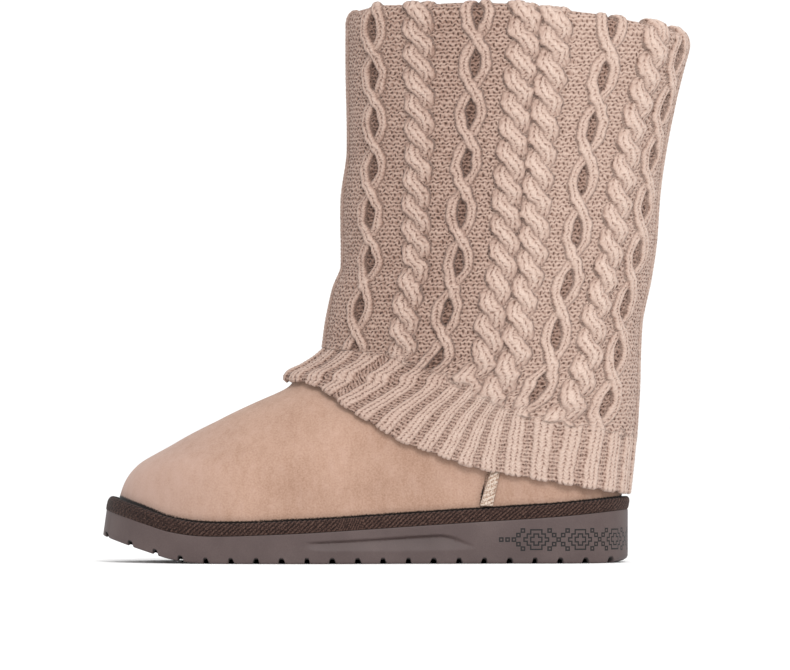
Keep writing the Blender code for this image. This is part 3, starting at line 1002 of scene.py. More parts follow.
@dataclass(frozen=True)
class SeamFinish:
    """Cream thread: the mark shade is 1 on a stitch's back."""

    light: Colour = tint(236, 217, 200)
    dark: Colour = tint(172, 138, 116)

    def make(self) -> bpy.types.Material:
        """Write the material.

        Returns:
            The material.
        """
        shade = Shade("cream_thread", 0.8, 0.1)
        twist = shade.noise(0.9 * MM, 3.0) - 0.5
        level = (shade.mark("shade") * 0.42 + twist * 3.0).between(-0.15, 0.55)
        return shade.finish(shade.mix(level, self.dark, self.light), twist, 0.8 * MM, 0.8)


@dataclass(frozen=True)
class PlushFinish:
    """Short cream plush: tufts a few millimetres wide."""

    light: Colour = tint(226, 210, 190)
    dark: Colour = tint(176, 152, 130)

    def make(self) -> bpy.types.Material:
        """Write the material.

        Returns:
            The material.
        """
        shade = Shade("cream_plush", 0.98, 0.4)
        tuft = shade.noise(2.6 * MM, 4.0)
        hair = shade.noise(0.5 * MM, 3.0)
        level = (tuft * 0.7 + hair * 0.3).between(0.3, 0.65)
        return shade.finish(shade.mix(level, self.dark, self.light), level, 1.2 * MM, 0.7)


class CableKind(Enum):
    """How a cable runs: two twisted strands, two that part and cross, or one flat band."""

    ROPE = "rope"
    LINK = "link"
    BAND = "band"


@dataclass(frozen=True)
class Cable:
    """One cable of the sleeve.

    Low and high are shares of the way round at the ankle and at the collar. Start is the height
    of a crossing, and repeat the distance from one crossing to the next.
    """

    kind: CableKind
    low: float
    high: float
    start: float
    repeat: float

    def other_side(self) -> "Cable":
        """The same cable on the inner half."""
        return Cable(self.kind, 1 - self.low, 1 - self.high, self.start, self.repeat)


@dataclass
class KnitSleeve:
    """The sweater: ribbed cuff, cables on purl ground, fold over the collar and turned-in flap."""

    form: BootForm
    columns: int = 720
    cuff_rows: int = 54
    body_rows: int = 330
    fold_rows: int = 34
    flap_rows: int = 36
    girth: float = 0.421
    wale: float = 0.0028
    row: float = 0.00204
    ribs: int = 36
    rib_wales: int = 3
    rib_lean: float = 0.33
    lean_place: float = 0.34
    lean_span: float = 0.06
    gutter: float = 0.30
    ground: float = 0.0010
    strand_height: float = 0.0021
    groove: float = 0.0008
    strand_stretch: float = 1.12
    rope_half: float = 0.0047
    rope_swing: float = 0.0041
    link_half: float = 0.0032
    link_swing: float = 0.0058
    band_half: float = 0.0054
    crossing: float = 0.0010
    # Painted light and shade: the shade mark is lowered at the front of the sleeve and raised
    # towards its back
    front_painted_shade: float = -0.06
    back_painted_light: float = 0.20
    ankle: float = 0.105
    top: float = 0.280
    hem_rows: int = 8
    end_rows: int = 6
    purl_height: float = 0.00075
    rib_height: float = 0.0013
    rung_height: float = 0.0004
    rib_row: float = 0.95
    eye_depth: float = 0.0009
    eye_edge: float = 0.0012
    ground_shade: float = -0.04
    strand_shade: float = -0.77
    strand_light: float = 0.95
    crossing_light: float = 0.16
    eye_shade: float = 0.40
    rib_shade: float = -0.15
    rib_light: float = 0.36
    gutter_shade: float = -0.08

    def cables(self) -> list[Cable]:
        """Cables round the whole sleeve: the outer half's own and their like on the inner half.

        Returns:
            The cables, flat bands first.
        """
        rope, link = CableKind.ROPE, CableKind.LINK
        outer = [
            Cable(link, 0.0745, 0.0640, 0.1450, 0.0243),
            Cable(rope, 0.1450, 0.1260, 0.2540, 0.0130),
            Cable(link, 0.1970, 0.1990, 0.1180, 0.0258),
            Cable(rope, 0.2570, 0.2560, 0.2415, 0.0128),
            Cable(rope, 0.2960, 0.2940, 0.2499, 0.0130),
            Cable(link, 0.3460, 0.3640, 0.1050, 0.0270),
            Cable(rope, 0.3930, 0.4260, 0.2360, 0.0131),
            Cable(link, 0.4370, 0.4700, 0.1480, 0.0259),
        ]
        bands = [Cable(CableKind.BAND, place, place, 0.0, 1.0) for place in (0.0, 0.5)]
        return bands + outer + [cable.other_side() for cable in outer]

    def ground_stitches(self, around: Array, up: Array) -> dict[str, Array]:
        """Purl ground of the body: height, wale, row, knit and shade.

        Args:
            around: distance round the sleeve.
            up: distance up the cloth.

        Returns:
            Fields of the cloth: height, wale, row, knit and shade.
        """
        wale, row = around / self.wale, up / self.row
        return {
            "height": self.purl_height * purl_relief(wale, row),
            "wale": wale,
            "row": row,
            "knit": np.zeros_like(wale),
            "shade": np.full_like(wale, self.ground_shade),
        }

    def lay_strand(self, cloth: dict[str, Array], distance: Array, along: Array, level: Array,
                   half: float, wales: float) -> None:
        """Lay one strand of a cable on the cloth where it lies highest.

        The strand's section is half an ellipse; its stitches run along it.

        Args:
            cloth: fields of the cloth, changed in place.
            distance: distance from the strand's middle, square to it.
            along: distance along the strand.
            level: height of the strand's base.
            half: half its width.
            wales: wales across it.
        """
        share = np.clip(distance / half, -1.0, 1.0)
        profile = np.sqrt(1 - share * share)
        wale = share * wales / 2 + wales / 2
        row = along / self.row
        height = level + self.strand_height * profile
        height += self.groove * (plain_relief(wale, row) - 0.7)
        over = (profile > 0.12) & (height > cloth["height"])
        shade = self.strand_shade + self.strand_light * profile
        shade = shade + self.crossing_light * np.clip(level / self.crossing, -1, 1)
        for name, value in (("height", height), ("wale", wale), ("row", row), ("shade", shade)):
            cloth[name] = np.where(over, value, cloth[name])
        cloth["knit"] = np.where(over, 1.0, cloth["knit"])

    def lay_cable(self, cloth: dict[str, Array], cable: Cable, around: Array, up: Array) -> None:
        """Lay a cable's two strands on the cloth.

        A rope's strands swing as a cosine and its mirror, half a turn a repeat, each over the
        other while it leans to the left as it climbs. A link's strands swing apart and cross at
        each repeat, with an open eye between crossings. A band is one flat strand.

        Args:
            cloth: fields of the cloth, changed in place.
            cable: the cable.
            around: distance round the sleeve.
            up: distance up it.
        """
        share = blend(cable.low, cable.high, (up - self.ankle) / (self.top - self.ankle))
        away = np.mod(around - share * self.girth + self.girth / 2, self.girth) - self.girth / 2
        turn = math.pi * (up - cable.start) / cable.repeat
        if cable.kind is CableKind.BAND:
            self.lay_strand(cloth, away, up, -0.3 * MM + 0 * up, self.band_half, 4.0)
            return
        for side in (1.0, -1.0):
            if cable.kind is CableKind.ROPE:
                middle = side * self.rope_swing * np.cos(turn)
                slope = -side * self.rope_swing * np.sin(turn) * math.pi / cable.repeat
                level = side * self.crossing * 1.5 * np.sin(turn) + 0.0003
                half, wales = self.rope_half, 3.0
            else:
                middle = side * self.link_swing * np.sin(turn)
                slope = side * self.link_swing * np.cos(turn) * math.pi / cable.repeat
                pinch = np.clip(1 - np.abs(np.sin(turn)), 0.0, 1.0)
                level = -side * self.crossing * np.sign(np.cos(turn)) * pinch
                half, wales = self.link_half, 2.0
            square = 1 / np.sqrt(1 + slope * slope)
            along = (up + (away - middle) * slope * square * square) * self.strand_stretch
            self.lay_strand(cloth, (away - middle) * square, along, level, half, wales)
        if cable.kind is CableKind.LINK:
            eye = self.link_swing * np.abs(np.sin(turn)) - self.link_half * 0.8
            inside = ease(0.0, self.eye_edge, eye - np.abs(away)) * (1 - cloth["knit"])
            cloth["height"] = cloth["height"] - self.eye_depth * inside
            cloth["shade"] = cloth["shade"] - self.eye_shade * inside

    def rib_places(self, theta: Array) -> Array:
        """Ribs passed from the front at each column: they stand evenly spaced along the hem.

        Args:
            theta: angles of the columns.

        Returns:
            Ribs passed, with their fraction.
        """
        hem = self.form.offset(theta, self.form.hem(theta), self.form.standoff)
        travel, length = ring_travel(hem)
        return self.ribs * travel / length

    def rib_stitches(self, places: Array, up: Array) -> dict[str, Array]:
        """Ribs of the cuff: round-backed bands of plain knitting and narrow purl gutters.

        Args:
            places: ribs passed, with their fraction.
            up: distance up the cloth.

        Returns:
            Fields of the cloth: height, wale, row, knit and shade.
        """
        place = np.mod(places + 0.5, 1.0) - 0.5
        band = 1 - self.gutter
        share = np.abs(place) / (band / 2)
        inside = share < 1
        back = np.sqrt(np.clip(1 - share ** 4, 0.0, None))
        row = up / (self.row * self.rib_row)
        wale = (place / band + 0.5) * self.rib_wales
        plain = plain_relief(wale, row)
        rung = purl_relief(0.25 + 0 * row, row)
        raised = self.rib_height * back + self.groove * (plain - 0.6)
        height = np.where(inside, raised, self.rung_height * rung)
        shade = np.where(inside, self.rib_shade + self.rib_light * back, self.gutter_shade)
        knit = inside.astype(float)
        return {"height": height, "wale": wale, "row": row, "knit": knit, "shade": shade}

    def paths(self, theta: Array) -> tuple[Surface, Array]:
        """Plain cloth before its stitches, from inside the hem over the collar to the flap's end.

        The hem is a half circle round the wall's thickness, the wall follows the shell at the
        cloth's distance, and the fold is half an ellipse over the collar.

        Args:
            theta: angles of the columns.

        Returns:
            The surface, and the distance up the cloth at each of its points.
        """
        form = self.form
        hem, cuff, collar = form.hem(theta), form.cuff(theta), form.collar(theta)
        shoulder = collar - form.knit
        inner, outer = form.standoff, form.standoff + self.ground
        radius = (outer - inner) / 2
        flap = form.suede + form.soft_clearance + self.ground
        middle, half = (outer - flap) / 2, (outer + flap) / 2
        rise = form.fold_height + self.ground
        rows, heights = [], []

        def add(height: Array, distance: float, lift: float, up: Array) -> None:
            """Add one row of the cloth."""
            rows.append(form.offset(theta, height, distance, lift))
            heights.append(up)

        for step in (9 * MM, 5 * MM, 2.2 * MM):
            add(hem + step, inner, 0.0, -step + 0 * theta)
        for angle in np.radians([-150, -115, -90, -65, -30]):
            lift = radius * (1 + math.sin(angle))
            add(hem + lift, inner + radius + radius * math.cos(angle), 0.0, 0 * theta)
        for share in np.linspace(0, 1, self.cuff_rows, endpoint=False):
            height = blend(hem + radius * 1.4, cuff, share)
            add(height, outer, 0.0, height - hem)
        for share in np.linspace(0, 1, self.body_rows, endpoint=False):
            height = blend(cuff, shoulder, share)
            add(height, outer, 0.0, height)
        travel = 0.0
        for angle in np.linspace(0, math.pi, self.fold_rows, endpoint=False):
            distance, lift = middle + half * math.cos(angle), rise * math.sin(angle)
            add(shoulder, distance, lift, shoulder + travel)
            travel += math.pi * math.sqrt((half ** 2 + rise ** 2) / 2) / self.fold_rows
        depth = form.flap_depth - form.knit
        for share in np.linspace(0, 1, self.flap_rows):
            add(shoulder - depth * share, -flap, 0.0, shoulder + travel + depth * share)
        return Surface(np.array(rows)), np.array(heights)

    def cloth(self, up: Array, travel: Array, places: Array) -> dict[str, Array]:
        """Stitches of the whole cloth: cables on purl above the cuff line, ribs below it.

        Args:
            up: distance up the cloth.
            travel: true distance along each column.
            places: ribs passed at each column.

        Returns:
            Fields of the cloth: height, wale, row, knit and shade.
        """
        turned = np.arange(self.columns) / self.columns
        around = np.broadcast_to(turned * self.girth, up.shape)
        uneven = 0.5 * MM * ripple(around, up, 9 * MM, 5)
        loose = 0.4 * MM * ripple(around, up, 6 * MM, 8)
        knitted = self.ground_stitches(around + uneven, up + loose)
        for cable in self.cables():
            self.lay_cable(knitted, cable, around + uneven, up + loose)
        from_lean = (np.minimum(turned, 1 - turned) - self.lean_place) / self.lean_span
        lean = self.rib_lean * np.exp(-from_lean ** 2) * np.sign(0.5 - turned) * travel
        ribbed = self.rib_stitches(places + (0.4 * uneven + lean) * self.ribs / self.girth, travel)
        past_cuff = np.arange(len(up))[:, None] - self.cuff_rows - self.hem_rows
        share = ease(-7.0, 9.0, past_cuff + 4 * ripple(around, up, 14 * MM, 9))
        fields = {}
        for name in ("height", "shade"):
            fields[name] = blend(ribbed[name], knitted[name], share)
        for name in ("wale", "row", "knit"):
            fields[name] = np.where(share > 0.5, knitted[name], ribbed[name])
        return fields

    def build(self, finish: bpy.types.Material) -> list[bpy.types.Object]:
        """Knit the sleeve and hand back its pieces: cuff, four quarters of the body, and fold.

        Args:
            finish: material of the piece.

        Returns:
            The pieces, from the cuff up.
        """
        theta = self.form.even_angles(self.columns)
        base, up = self.paths(theta)
        steps = np.linalg.norm(np.diff(base.points, axis=0), axis=-1)
        travel = np.concatenate([0 * steps[:1], np.cumsum(steps, axis=0)])
        cloth = self.cloth(up, travel, self.rib_places(theta))
        rows = len(up)
        fade = np.ones((rows, 1))
        fade[:self.hem_rows, 0] = np.linspace(0.0, 1.0, self.hem_rows)
        fade[-self.end_rows:, 0] = np.linspace(1.0, 0.3, self.end_rows)
        turned = np.arange(self.columns) / self.columns
        slack = 0.45 * MM * ripple(turned * self.girth, up, 42 * MM, 3)
        base.marks["yarn"] = np.stack([cloth["wale"], cloth["row"], cloth["knit"]], axis=-1)
        # Painted light and shade: darker at the front, lighter towards the back
        painted_light_share = ease(0.25, 0.75, 0.5 - 0.5 * np.cos(TURN * turned))
        base.marks["shade"] = cloth["shade"] + blend(self.front_painted_shade, self.back_painted_light, painted_light_share)
        whole = base.raised((cloth["height"] + slack) * fade)
        whole.marks["normal"] = whole.normals()
        cuff_end = self.hem_rows + self.cuff_rows
        body_end = cuff_end + self.body_rows
        every = np.append(np.arange(self.columns), 0)
        quarter = self.columns // 4
        names = ["front_outer", "back_outer", "back_inner", "front_inner"]
        parts = [("knit_cuff", slice(0, cuff_end + 1), every)]
        for number, name in enumerate(names):
            columns = every[number * quarter:(number + 1) * quarter + 1]
            parts.append((f"knit_body_{name}", slice(cuff_end, body_end + 1), columns))
        parts.append(("knit_fold", slice(body_end, rows), every))
        made = []
        for name, part_rows, columns in parts:
            part = whole.part(part_rows, columns)
            made.append(part.piece(name, part.marks.pop("normal")))
            dress(made[-1], finish, "knit", "knit_sleeve")
        return made


@dataclass(frozen=True)
class Crease:
    """A soft trough in the suede: a middle, a direction, a length, a width and a depth."""

    reach: float
    height: float
    angle: float
    length: float
    width: float
    depth: float


@dataclass
class SuedeUpper:
    """The suede foot and shaft: one wall with soft creases, tucked in at the welt."""

    form: BootForm
    columns: int = 320
    foot_rows: int = 62
    shaft_rows: int = 20
    inner_rows: int = 26
    tuck: float = 0.0005
    seam_low: float = 0.030
    seam_rise: float = 0.028
    seam_edge: tuple[float, float] = (0.0040, 0.0029)
    seam_end: float = 0.09

    def creases(self) -> list[Crease]:
        """Creases: two across the vamp, and one by the ball, on the quarter and at the toe.

        Returns:
            The creases.
        """
        return [
            Crease(0.112, 0.070, math.radians(58), 0.050, 0.009, 0.0009),
            Crease(0.090, 0.058, math.radians(50), 0.040, 0.010, 0.0006),
            Crease(0.150, 0.036, math.radians(8), 0.070, 0.008, 0.0006),
            Crease(0.232, 0.037, math.radians(4), 0.050, 0.006, 0.0005),
            Crease(0.050, 0.040, math.radians(30), 0.045, 0.010, 0.0004),
        ]

    def relief(self, points: Array, above: Array) -> Array:
        """Relief of the outer face: creases as soft troughs, a slow unevenness and the tuck.

        Args:
            points: points of the face.
            above: their heights above the sole's top.

        Returns:
            The relief in metres.
        """
        reach, height = points[..., 0] - self.form.toe_x, points[..., 2]
        total = 0.35 * MM * ripple(reach, height + points[..., 1], 38 * MM, 11)
        for crease in self.creases():
            east, north = reach - crease.reach, height - crease.height
            along = east * math.cos(crease.angle) + north * math.sin(crease.angle)
            across = north * math.cos(crease.angle) - east * math.sin(crease.angle)
            share = (along / crease.length) ** 2 + (across / crease.width) ** 2
            total -= crease.depth * np.exp(-share * 1.5)
        tucked = np.exp(-(np.clip(above, 0.0, None) / (4 * MM)) ** 2)
        return total * (1 - tucked) - self.tuck * tucked

    def joint(self, points: Array, above: Array) -> Array:
        """Distance to the nearest joint: the welt's top, or the front edge of a side seam.

        Args:
            points: points of the face.
            above: their heights above the sole's top.

        Returns:
            The distance in metres.
        """
        reach, height = points[..., 0] - self.form.toe_x, points[..., 2]
        form = self.form
        rise = np.clip((height - self.seam_low) / self.seam_rise, 0.0, 1.0)
        edge = form.seam_reach + form.seam_lean * rise - blend(*self.seam_edge, rise)
        swell = 1 + form.toe_swell * (1 - form.past_toe(reach))
        low = np.clip(above - form.welt_height * swell, 0.0, None)
        return np.where(height < self.seam_end, np.minimum(np.abs(reach - edge), low), low)

    def build(self, finish: bpy.types.Material) -> bpy.types.Object:
        """Make the wall: outer face up from the sole, over the collar edge, inner face down.

        Args:
            finish: material of the piece.

        Returns:
            The piece.
        """
        form = self.form
        theta = form.even_angles(self.columns)
        base = form.sole_heights(theta, form.soft_clearance)
        cover = form.hem(theta) + 12 * MM
        collar = form.collar(theta)
        heights = [blend(base, cover, share) for share in np.linspace(0, 1, self.foot_rows)]
        heights += [blend(cover, collar, share) for share in np.linspace(0, 1, self.shaft_rows)[1:]]
        heights = np.array(heights)
        outer = form.offset(theta, heights, 0.0)
        outer[0, :, 2] = form.sole_top(outer[0, :, 0] - form.toe_x) + form.soft_clearance
        above = heights - base
        face = Surface(outer)
        fade = 1 - ease(0.0, 1.0, (heights - cover) / (10 * MM))
        face = face.raised(self.relief(outer, above) * fade * ease(0, 2 * MM, above))
        inner_heights = np.array([
            blend(base, collar, share) for share in np.linspace(1, 0, self.inner_rows)])
        inner = form.offset(theta, inner_heights, -form.suede)
        inner[-1, :, 2] = form.sole_top(inner[-1, :, 0] - form.toe_x) + form.soft_clearance
        points = np.concatenate([face.points, inner])
        joint = np.concatenate([self.joint(face.points, above), np.ones(inner.shape[:2])])
        piece = Surface(points, {"joint": joint}, wrap_rows=True).piece("suede_upper")
        piece.data.set_sharp_from_angle(angle=math.radians(50))
        dress(piece, finish, "suede", "upper")
        return piece


@dataclass
class Welt:
    """The wrapped band round the foot: slanted cords on a round-topped section."""

    form: BootForm
    columns: int = 1500
    pitch: float = 0.00270
    slant: float = 1.15
    cord: float = 0.00055
    seat: float = 0.0001
    join_reach: float = 0.1297
    join_half: float = 0.0055
    join_slant: float = 0.45
    roundness: float = 0.8

    def section(self) -> tuple[Array, Array]:
        """Section of the band: out along the sole, up the outer face, over its round back.

        Returns:
            Distance out and height of each point, as shares of the band's size.
        """
        turn = np.radians(np.linspace(0, 172, 14))
        face = np.linspace(0.05, 0.5, 6)
        across = np.concatenate([[0.0, 0.45, 0.90], 1 - 0.04 * (1 - 2 * face) ** 2,
                                 0.5 + 0.5 * np.cos(turn), [0.0]])
        up = np.concatenate([[0.0, 0.0, 0.0], face, 0.56 + 0.44 * np.sin(turn), [0.28]])
        return across, up

    def build(self, finish: bpy.types.Material) -> bpy.types.Object:
        """Make the band: the section carried round the shell, with its cords raised on it.

        Args:
            finish: material of the piece.

        Returns:
            The piece.
        """
        form = self.form
        theta = form.even_angles(self.columns)
        across, up = self.section()
        ahead = form.shell(theta, form.sole_heights(theta, form.welt_height + 0 * theta))
        toe = form.past_toe(ahead[:, 0] - form.toe_x)
        swell = 1 + form.toe_swell * (1 - toe)
        above = self.seat + up[:, None] * form.welt_height * swell
        heights = form.sole_heights(theta, above)
        distance = form.clearance + across[:, None] * form.welt_thickness * swell
        points = form.offset(theta, heights, distance)
        reach = points[..., 0] - form.toe_x
        points[..., 2] = form.sole_top(reach) + above
        base = Surface(points, wrap_rows=True)
        face_row = 5
        travel, length = ring_travel(points[face_row])
        pitch = length / round(length / self.pitch)
        rise = up[:, None] * form.welt_height
        turn, fine_turn = travel - rise * self.slant, travel - rise * self.join_slant
        cords = np.abs(np.sin(math.pi * turn / pitch)) ** self.roundness
        fine = np.abs(np.sin(TURN * fine_turn / pitch)) ** self.roundness
        near = 1 - ease(0.0, 2 * MM, np.abs(reach - self.join_reach) - self.join_half)
        cords = blend(cords, fine, near)
        shown = ease(0.1, 0.4, across)[:, None] * ease(0.0, 0.1, up)[:, None]
        relief = self.cord * (cords - 0.5) * blend(0.45, 1.0, toe) * blend(1.0, 0.6, near) * shown
        foot = 1 - ease(0.0, 0.16, up)[:, None]
        # Painted shade on the inner crown, where the band turns in toward the suede; the shade mark
        # also darkens the gaps between cords
        crown_shade = (1 - ease(0.4, 0.7, across)[:, None]) * ease(0.5, 0.8, up)[:, None]
        wrap = blend(0.35 + 0.25 * cords, cords, toe) + 0.5 * foot * cords
        base.marks["shade"] = wrap - 1.2 * crown_shade
        piece = base.raised(relief).piece("twill_welt")
        dress(piece, finish, "welt", "welt")
        return piece


@dataclass
class MouldedSole:
    """The sole: cross grooves with a thin web midway, a scooped waist and a rounded heel."""

    form: BootForm
    columns: int = 1000
    wall_rows: int = 34
    groove_pitch: float = 0.0132
    groove_width: float = 0.0031
    groove_depth: float = 0.0024
    spine: float = 0.002
    tip_share: float = 0.002
    edge: float = 0.0011
    rim: float = 0.0004
    heel_height: float = 0.0036
    heel_reach: float = 0.0085
    toe_lean: float = 0.0018
    toe_land: float = 0.0012
    heel_land: float = 0.0055
    heel_start: float = 0.955
    scoop_depth: float = 0.0022
    scoop_lip: float = 0.0012
    scoop_start: float = 0.0004

    def groove(self, reach: Array) -> Array:
        """Height of the cross grooves: one a pitch, with flat sides and a round roof.

        Args:
            reach: distance from the toe tip.

        Returns:
            The height, 0 between grooves.
        """
        place = self.form.toe_x + reach
        away = np.abs(np.mod(place / self.groove_pitch, 1.0) - 0.5) * self.groove_pitch
        share = np.clip(away / (self.groove_width / 2), 0.0, 1.0)
        ends = (reach > self.toe_land) & (reach < self.form.sole_length - self.heel_land)
        return self.groove_depth * np.sqrt(1 - share ** 4) * ends

    def angles(self) -> Array:
        """Angles of the columns, evenly spaced along the outline, the same on both sides.

        Returns:
            The angles, round the whole sole.
        """
        dense = np.linspace(0, math.pi, 4001)
        along, side = self.form.sole_outline(dense, 0 * dense)
        travel = np.concatenate([[0.0], np.cumsum(np.hypot(np.diff(along), np.diff(side)))])
        places = np.linspace(0, travel[-1], self.columns // 2 + 1)
        return both_sides(np.interp(places, travel, dense))

    def build(self, finish: bpy.types.Material) -> bpy.types.Object:
        """Make the sole: wall from rounded lower edge to top, closed from side to side.

        Args:
            finish: material of the piece.

        Returns:
            The piece.
        """
        form = self.form
        theta = self.angles()
        reach, side = form.sole_outline(theta, 0 * theta)
        step = np.hypot(reach[1] - reach[0], side[1] - side[0])
        from_heel = np.abs(np.arange(self.columns) - self.columns // 2) * step
        share = reach / form.sole_length
        bottom, thickness = form.sole_bottom(reach), form.sole_thickness(reach)
        grooves = self.groove(reach)
        top = bottom + thickness
        toe = 1 - ease(0.0, 0.10, share)
        heel = ease(self.heel_start, 1.0, share)
        rounding = blend(self.edge, self.heel_height, heel)
        inward = blend(self.edge, self.heel_reach, heel)
        depth = self.scoop_depth * smooth(SCOOP, "depth", share)
        low = bottom + thickness * smooth(SCOOP, "low", share)
        high = bottom + thickness * smooth(SCOOP, "high", share)
        # The groove mark: 1 inside each groove, where the colour is painted near black as shade
        dark = ease(0.2 * MM, 1.2 * MM, grooves)
        rows, marks = [], []

        def add(height: Array, inset: Array, groove: Array) -> None:
            """Add one row of the sole's skin."""
            along, out = form.sole_outline(theta, inset)
            rows.append(np.stack([form.toe_x + along, out, height], axis=-1))
            marks.append(groove)

        # Two rows stand beside the web: its foot, and the groove's end above it
        base = bottom + grooves
        along, out = form.sole_outline(theta, inward)
        middle = form.centre_line(along)
        for number, height in ((2, bottom), (1, base)):
            away = np.minimum(self.spine / number, (1 - 0.1 * number) * np.abs(out - middle))
            back = along + (form.sole_length / 2 - along) * number * self.tip_share
            across = middle + np.sign(out - middle) * away
            rows.append(np.stack([form.toe_x + back, across, height], axis=-1))
            marks.append(dark)
        for part in (0.0, 0.25, 0.5, 0.75, 1.0):
            angle = part * math.pi / 2
            inset = inward * (1 - math.sin(angle))
            add(base + rounding * (1 - math.cos(angle)), inset, dark * (1 - part ** 3))
        for part in np.linspace(0, 1, self.wall_rows)[1:-1]:
            height = blend(base + rounding, top - self.rim, part)
            slope = np.clip((height - low) / (high - low), 0.0, 1.0)
            slope = slope * (1 - ease(-self.scoop_start, self.scoop_lip, height - high))
            add(height, depth * slope + self.toe_lean * toe * toe * part, 0 * theta)
        for part in (0.0, 0.5, 1.0):
            angle = part * math.pi / 2
            inset = self.rim * (1 - math.cos(angle)) + self.toe_lean * toe * toe
            add(top - self.rim * (1 - math.sin(angle)), inset, 0 * theta)
        points = np.array(rows)
        heel_way = np.broadcast_to(from_heel, points.shape[:2])
        surface = Surface(points, {"groove": np.array(marks), "heel": heel_way})
        last = (len(rows) - 1) * self.columns
        faces = across_faces(0, self.columns, False) + across_faces(last, self.columns, True)
        piece = surface.piece("moulded_sole", None, faces)
        piece.data.set_sharp_from_angle(angle=math.radians(48))
        dress(piece, finish, "sole", "outsole")
        return piece


@dataclass
class SideSeam:
    """A raised side seam overcast with thick thread."""

    form: BootForm
    outer: bool
    width: float = 0.0070
    top_width: float = 0.0044
    tuck: float = 0.010
    rows: int = 120
    stitch: float = 0.0025
    stitch_slant: float = 0.55
    stitch_depth: float = 0.26
    roundness: float = 0.65

    def build(self, finish: bpy.types.Material) -> bpy.types.Object:
        """Make the seam: an arched section carried up the shell, ridged by slanted stitches.

        Args:
            finish: material of the piece.

        Returns:
            The piece.
        """
        form = self.form
        name = "outer" if self.outer else "inner"
        dense = np.linspace(0.3, math.pi - 0.05, 1200)
        dense = dense if self.outer else TURN - dense
        start = form.seam_foot
        share = np.linspace(0, 1, self.rows)
        foot = np.interp(form.seam_reach, form.shell(dense, start)[:, 0] - form.toe_x, dense)
        length = float(form.hem(foot)) + self.tuck - start
        heights = start + length * share
        angles, spans = [], []
        for height, part in zip(heights, share):
            points = form.shell(dense, height)
            reach = points[:, 0] - form.toe_x
            steps = np.linalg.norm(np.diff(points, axis=0), axis=1)
            spacing = np.interp(form.seam_reach, reach[1:], steps) / abs(dense[1] - dense[0])
            angles.append(float(np.interp(form.seam_reach + form.seam_lean * part, reach, dense)))
            spans.append(blend(self.width, self.top_width, part) / 2 / spacing)
        turn = np.linspace(0, math.pi, 17)
        across, up = -np.cos(turn), np.sin(turn) ** self.roundness
        sign = 1.0 if self.outer else -1.0
        theta = np.array(angles)[:, None] + np.array(spans)[:, None] * across
        stitches = share[:, None] * length / self.stitch
        ridge = np.abs(np.sin(math.pi * (stitches - sign * across * self.stitch_slant)))
        thickness = form.seam_thickness * up * (1 - self.stitch_depth * (1 - ridge))
        top = form.offset(theta, heights[:, None] + 0 * theta, form.clearance + thickness)
        under = form.offset(theta[:, ::-1][:, 1:-1], heights[:, None] + 0 * theta[:, 1:-1],
                            form.clearance)
        points = np.concatenate([top, under], axis=1)
        if not self.outer:
            points = points[:, ::-1]
        marks = np.concatenate([ridge * up, np.zeros(under.shape[:2])], axis=1)
        marks = marks if self.outer else marks[:, ::-1]
        ring = points.shape[1]
        last = (self.rows - 1) * ring
        faces = [tuple(range(ring))[::-1], tuple(range(last, last + ring))]
        surface = Surface(points, {"shade": marks})
        piece = surface.piece(f"overcast_seam_{name}", None, faces)
        dress(piece, finish, "seam", f"seam_{name}")
        return piece


@dataclass
class Lining:
    """The plush inside: a soft skin in the shaft and foot, and the footbed."""

    form: BootForm
    columns: int = 240
    rows: int = 64
    back_rows: int = 48
    pile: float = 0.0022
    insole: float = 0.006
    foam: float = 0.8

    def build_skin(self, finish: bpy.types.Material) -> bpy.types.Object:
        """Make the skin: two faces inside the suede, from the footbed to under the flap.

        Args:
            finish: material of the piece.

        Returns:
            The piece.
        """
        form = self.form
        theta = form.even_angles(self.columns)
        base = form.sole_heights(theta, self.insole + 2 * form.soft_clearance + 0.6 * MM)
        top = form.collar(theta) - form.flap_depth - 1.5 * MM
        wall = form.suede + form.clearance
        inner_heights = np.array([blend(top, base, s) for s in np.linspace(0, 1, self.rows)])
        tufts = 0.5 + 0.5 * ripple(theta * 0.06, inner_heights, 6 * MM, 21)
        distance = -(wall + self.pile * (0.55 + 0.45 * tufts))
        inner = form.offset(theta, inner_heights, distance)
        outer_heights = np.array([blend(base, top, s) for s in np.linspace(0, 1, self.back_rows)])
        outer = form.offset(theta, outer_heights, -wall)
        piece = Surface(np.concatenate([inner, outer]), wrap_rows=True).piece("plush_lining")
        dress(piece, finish, "lining")
        return piece

    def build_footbed(self, finish: bpy.types.Material) -> bpy.types.Object:
        """Make the footbed: a slab with a soft raised rim, closed from side to side.

        Args:
            finish: material of the piece.

        Returns:
            The piece.
        """
        form = self.form
        theta = both_sides(np.linspace(0, math.pi, self.columns // 2 + 1))
        wall = form.suede + 2 * form.soft_clearance
        low, high = form.soft_clearance, form.soft_clearance + self.insole
        rows = []
        for above, inset in ((low, 0.0), (blend(low, high, 0.7), 0.0), (high, 1.6 * MM),
                             (high - 0.3 * MM, 4 * MM)):
            points = form.offset(theta, form.sole_heights(theta, above), -wall - inset)
            points[..., 2] = form.sole_top(points[..., 0] - form.toe_x) + above
            rows.append(points)
        last = (len(rows) - 1) * len(theta)
        faces = across_faces(0, len(theta), False) + across_faces(last, len(theta), True)
        piece = Surface(np.array(rows)).piece("plush_footbed", None, faces)
        dress(piece, finish, "lining", "insole")
        return piece


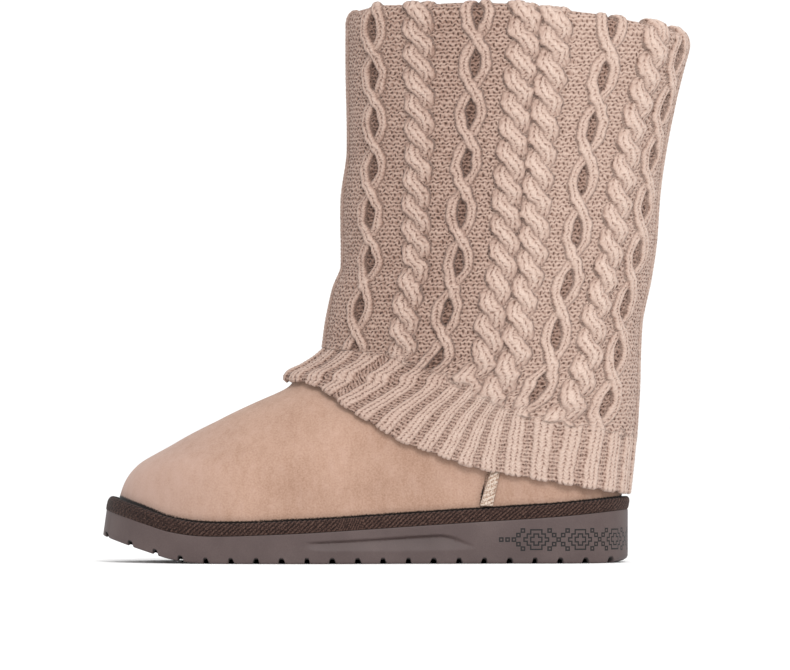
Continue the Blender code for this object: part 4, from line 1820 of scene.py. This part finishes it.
@dataclass
class Studio:
    """Pale floor, soft light and the level camera at the boot's outer side."""

    distance: float = 5.0
    scale: float = 0.000524
    image_width: int = 790
    middle_x: float = -0.0796
    middle_z: float = 0.1189
    floor_half: float = 8.0
    sky: float = 1.1

    def build_camera(self) -> None:
        """Place the camera: its field is the image's width times the size of a pixel."""
        data = bpy.data.cameras.new("camera")
        data.sensor_width = 36.0
        data.lens = data.sensor_width * self.distance / (self.image_width * self.scale)
        data.clip_end = 50.0
        camera = bpy.data.objects.new("camera", data)
        camera.location = (self.middle_x, -self.distance, self.middle_z)
        camera.rotation_euler = (math.pi / 2, 0.0, 0.0)
        bpy.context.scene.collection.objects.link(camera)
        bpy.context.scene.camera = camera

    def add_light(self, name: str, place: Colour, size: float, power: float) -> None:
        """Add a square soft light that looks at the middle of the boot.

        Args:
            name: name of the light.
            place: where it stands.
            size: its side.
            power: its power in watts.
        """
        data = bpy.data.lights.new(name, "AREA")
        data.size = size
        data.energy = power
        light = bpy.data.objects.new(name, data)
        light.location = place
        aim = np.array([self.middle_x, 0.0, self.middle_z]) - np.array(place)
        flat = math.hypot(aim[0], aim[1])
        light.rotation_euler = (math.atan2(flat, -aim[2]), 0.0, math.atan2(-aim[0], aim[1]))
        bpy.context.scene.collection.objects.link(light)

    def build(self) -> None:
        """Make the floor, the lights and the camera."""
        shade = Shade("pale_floor", 0.9)
        shade.shader.inputs["Base Color"].default_value = (0.92, 0.92, 0.92, 1.0)
        shade.tree.nodes.remove(shade.place.socket.node)
        mesh = bpy.data.meshes.new("floor")
        signs = ((-1, -1), (1, -1), (1, 1), (-1, 1))
        corners = [(east * self.floor_half, north * self.floor_half, 0.0) for east, north in signs]
        mesh.from_pydata(corners, [], [(0, 1, 2, 3)])
        mesh.materials.append(shade.material)
        floor = bpy.data.objects.new("floor", mesh)
        bpy.context.scene.collection.objects.link(floor)
        world = bpy.data.worlds.new("studio")
        world.use_nodes = True
        sky = world.node_tree.nodes["Background"]
        sky.inputs["Color"].default_value = (1.0, 1.0, 1.0, 1.0)
        sky.inputs["Strength"].default_value = self.sky
        bpy.context.scene.world = world
        bpy.context.scene.view_settings.view_transform = "Standard"
        self.add_light("key", (0.25, -2.1, 1.6), 0.9, 41.0)
        self.add_light("fill", (1.3, -1.6, 0.7), 1.4, 5.0)
        self.build_camera()


def dress(piece: bpy.types.Object, finish: bpy.types.Material, slot: str, *nodes: str) -> None:
    """Give a piece its finish, say what it rides on, and hide the solids it stands for.

    Args:
        piece: the piece.
        finish: its material.
        slot: not used.
        nodes: names of the solids.
    """
    piece.data.materials.append(finish)
    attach(piece, "root")
    if nodes:
        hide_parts(*nodes)
    log.info("%s: %d faces", piece.name, len(piece.data.polygons))


def main() -> None:
    """Build every piece of the boot and the studio round it."""
    logging.basicConfig(level=logging.INFO, format="%(name)s %(message)s")
    form = BootForm()
    plush = PlushFinish().make()
    thread = SeamFinish().make()
    Studio().build()
    MouldedSole(form).build(SoleFinish().make())
    Welt(form).build(WeltFinish().make())
    SuedeUpper(form).build(SuedeFinish().make())
    SideSeam(form, True).build(thread)
    SideSeam(form, False).build(thread)
    lining = Lining(form)
    lining.build_skin(plush)
    lining.build_footbed(plush)
    KnitSleeve(form).build(KnitFinish().make())


if __name__ == "__main__":
    main()
